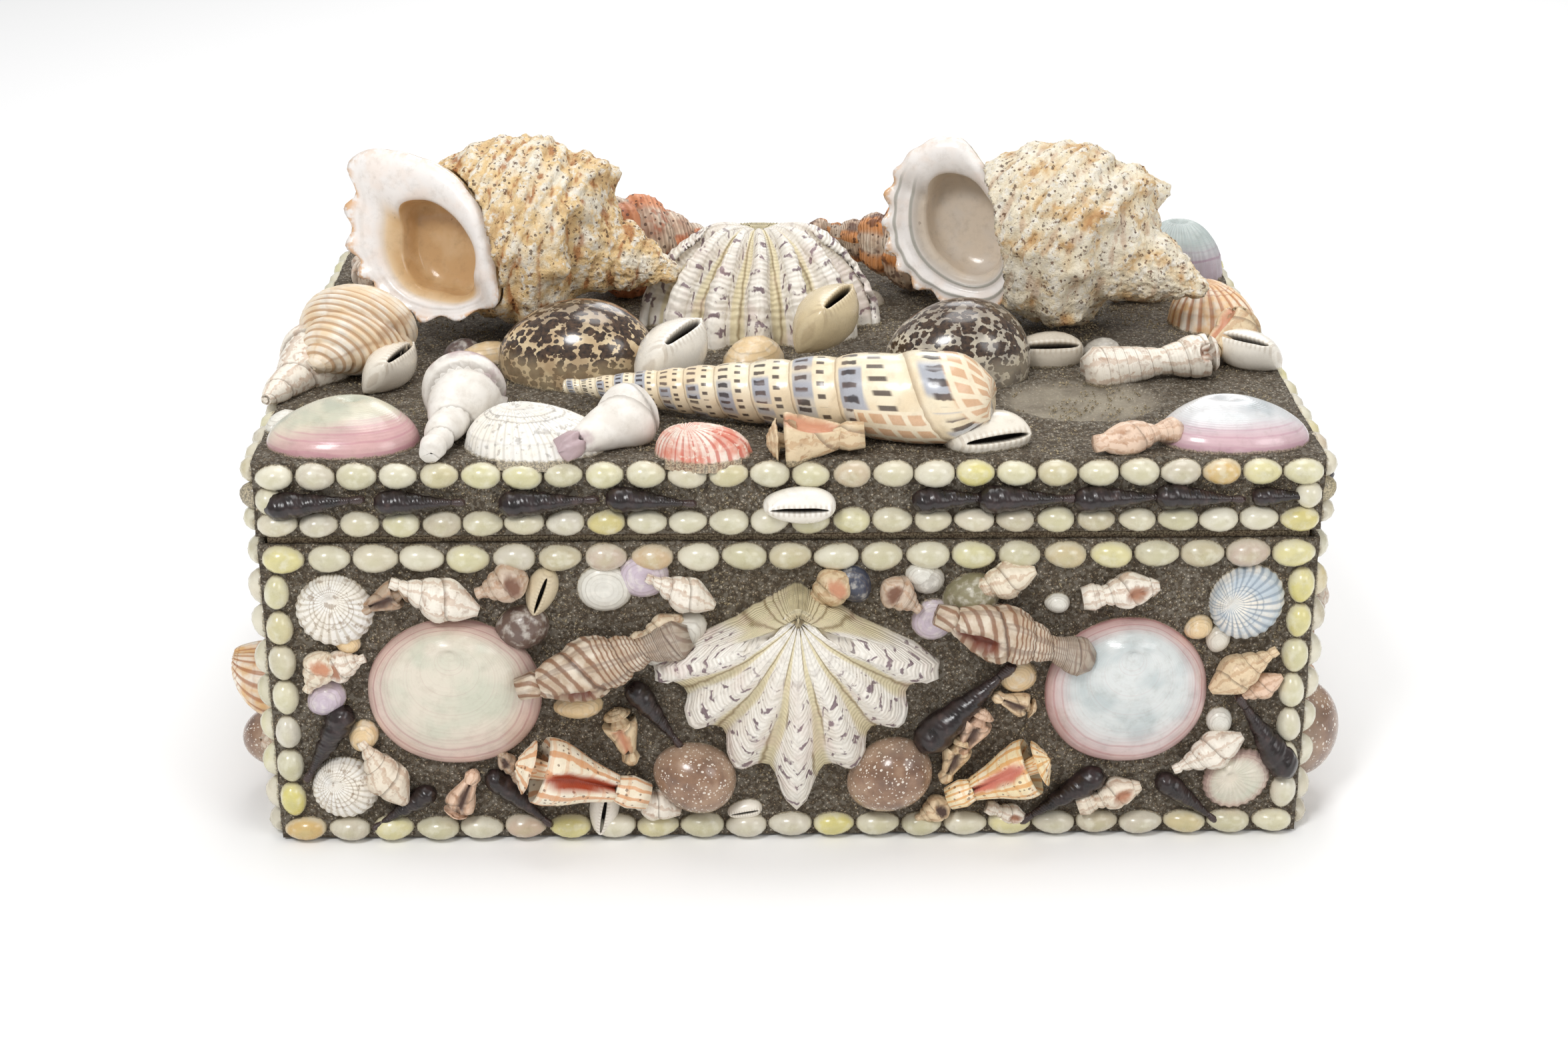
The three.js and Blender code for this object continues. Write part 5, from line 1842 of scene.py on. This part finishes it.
def fill_plain_sides(small):
    box_low = span("box_back_lower_cowrie_row", "back")[1].y
    box_high = span("box_back_upper_cowrie_row", "back")[0].y
    ends = {"left": ("end_shell_left_upper", "end_shell_left_lower"), "right": ("end_cowrie_right",),
            "back": ()}
    band_low = span("lid_back_lower_cowrie_row", "back")[1].y
    band_high = span("lid_back_upper_cowrie_row", "back")[0].y
    for face, nodes in ends.items():
        edge = HALF_RUN[face] - 14
        scatter(face, small, (-edge, box_low), (edge, box_high), round_room(nodes, face), 1500)
        horns = []
        u = -edge + 26
        while u < edge - 20:
            horns.append((u, (band_low + band_high) / 2, random.uniform(36, 44), 180))
            u += random.uniform(42, 52)
        strew(face, "horn", small, horns, "_band")


# ------------------------------------------------------------------ loose grit


def grit_patch(grains, radius):
    """A patch of loose grains of sand, modelled once and copied over the mortar."""
    deselect()
    bpy.ops.mesh.primitive_cone_add(vertices=3, radius1=1, radius2=0, depth=1.2)
    grain = begin("grain")
    close_mesh()
    copies = []
    for _ in range(grains):
        angle = random.uniform(0, TURN)
        reach = radius * math.sqrt(random.random())
        size = random.uniform(0.4, 1.0)
        place = Matrix.Translation((reach * math.cos(angle), reach * math.sin(angle),
                                    random.uniform(-0.1, 0.35)))
        turn = Matrix.Rotation(random.uniform(0, TURN), 4, "Z")
        lean = Matrix.Rotation(random.uniform(-0.6, 0.6), 4, "X")
        shape = Matrix.Diagonal((size, size * random.uniform(0.6, 1), size * 0.9, 1))
        copies.append(copy_of(grain, place @ turn @ lean @ shape, random.random()))
    discard(grain)
    return joined("grit_patch", copies)


def strew_grit(face, low, high, patch, radius, label=""):
    area = (high[0] - low[0]) * (high[1] - low[1])
    count = round(area / (radius * radius * 4.3))
    copies = []
    for _ in range(count):
        u = random.uniform(low[0] + radius, high[0] - radius)
        v = random.uniform(low[1] + radius, high[1] - radius)
        twin = patch.copy()
        twin.data = patch.data.copy()
        bpy.context.scene.collection.objects.link(twin)
        turn = Matrix.Rotation(random.uniform(0, TURN), 4, "Z")
        twin.data.transform(Matrix.Translation((u, v, 0)) @ turn)
        copies.append(twin)
    seat(joined(f"{face}_grit{label}", copies), face, FINISH["grit"])


def set_grit():
    radius = 9.0
    patch = grit_patch(34, radius)
    low = span("box_back_lower_cowrie_row", "back")[1].y - 3
    high = span("box_back_upper_cowrie_row", "back")[0].y + 3
    band = (span("lid_back_lower_cowrie_row", "back")[1].y - 3,
            span("lid_back_upper_cowrie_row", "back")[0].y + 3)
    for face in ("front", "back", "left", "right"):
        edge = HALF_RUN[face] - 8
        strew_grit(face, (-edge, low), (edge, high), patch, radius)
        strew_grit(face, (-edge, band[0]), (edge, band[1]), patch, 6, "_band")
    corner = (HALF_RUN["front"] - 3, HALF_RUN["left"] - 3)
    strew_grit("top", (-corner[0], -corner[1]), corner, patch, radius)
    discard(patch)


# ------------------------------------------------------------------ stage, light and camera


def add_stage():
    deselect()
    bpy.ops.mesh.primitive_plane_add(size=14)
    floor = begin("studio_floor")
    bpy.ops.transform.translate(value=(0, 0, cad_bounds[0][2] - 0.0004))
    close_mesh()
    material = bpy.data.materials.new("studio_floor")
    material.use_nodes = True
    b = Bench(material.node_tree)
    principled = b.tree.nodes["Principled BSDF"]
    faint = b.noise(b.place(), 900.0)
    b.feed(principled.inputs["Base Color"], b.mix(faint * 0.02, "fbfbfb", "f2f2f2"))
    principled.inputs["Roughness"].default_value = 0.9
    principled.inputs["Specular IOR Level"].default_value = 0.0
    floor.data.materials.append(material)


def soft_light(name, at, target, size, power):
    data = bpy.data.lights.new(name, "AREA")
    data.shape = "DISK"
    data.size = size
    data.energy = power
    lamp = bpy.data.objects.new(name, data)
    lamp.location = at
    lamp.rotation_euler = (Vector(target) - Vector(at)).to_track_quat("-Z", "Y").to_euler()
    bpy.context.scene.collection.objects.link(lamp)


def add_lights():
    middle = (0, 0, 0.12)
    soft_light("key_light", (-0.9, -1.7, 2.1), middle, 0.7, 30)
    soft_light("fill_light", (1.5, -1.5, 1.5), middle, 1.2, 12)
    soft_light("top_light", (0.1, 0.3, 2.4), middle, 1.4, 18)
    soft_light("back_light", (0.4, 2.0, 1.7), middle, 1.4, 16)
    world = bpy.data.worlds.new("pale_room")
    bpy.context.scene.world = world
    world.use_nodes = True
    sky = world.node_tree.nodes["Background"]
    sky.inputs["Color"].default_value = (1, 1, 1, 1)
    sky.inputs["Strength"].default_value = 0.5
    bpy.context.scene.view_settings.view_transform = "Standard"


def add_camera():
    data = bpy.data.cameras.new("camera")
    data.sensor_width = 36
    data.lens = 58.44
    data.clip_end = 30
    camera = bpy.data.objects.new("camera", data)
    camera.location = (-0.02138, -1.22939, 0.6161)
    camera.rotation_euler = (math.radians(90 - 23.1), 0, math.radians(-1))
    bpy.context.scene.collection.objects.link(camera)
    bpy.context.scene.camera = camera


# ------------------------------------------------------------------ the whole box

add_camera()
add_stage()
add_lights()
dress_wood()
spread_mortar()
set_rows()
set_large_shells()
small_shells = make_small_shells()
set_named_small_shells(small_shells)
set_cockles()
fill_plain_sides(small_shells)
discard(*(entry[0] for entry in small_shells.values()))
set_grit()
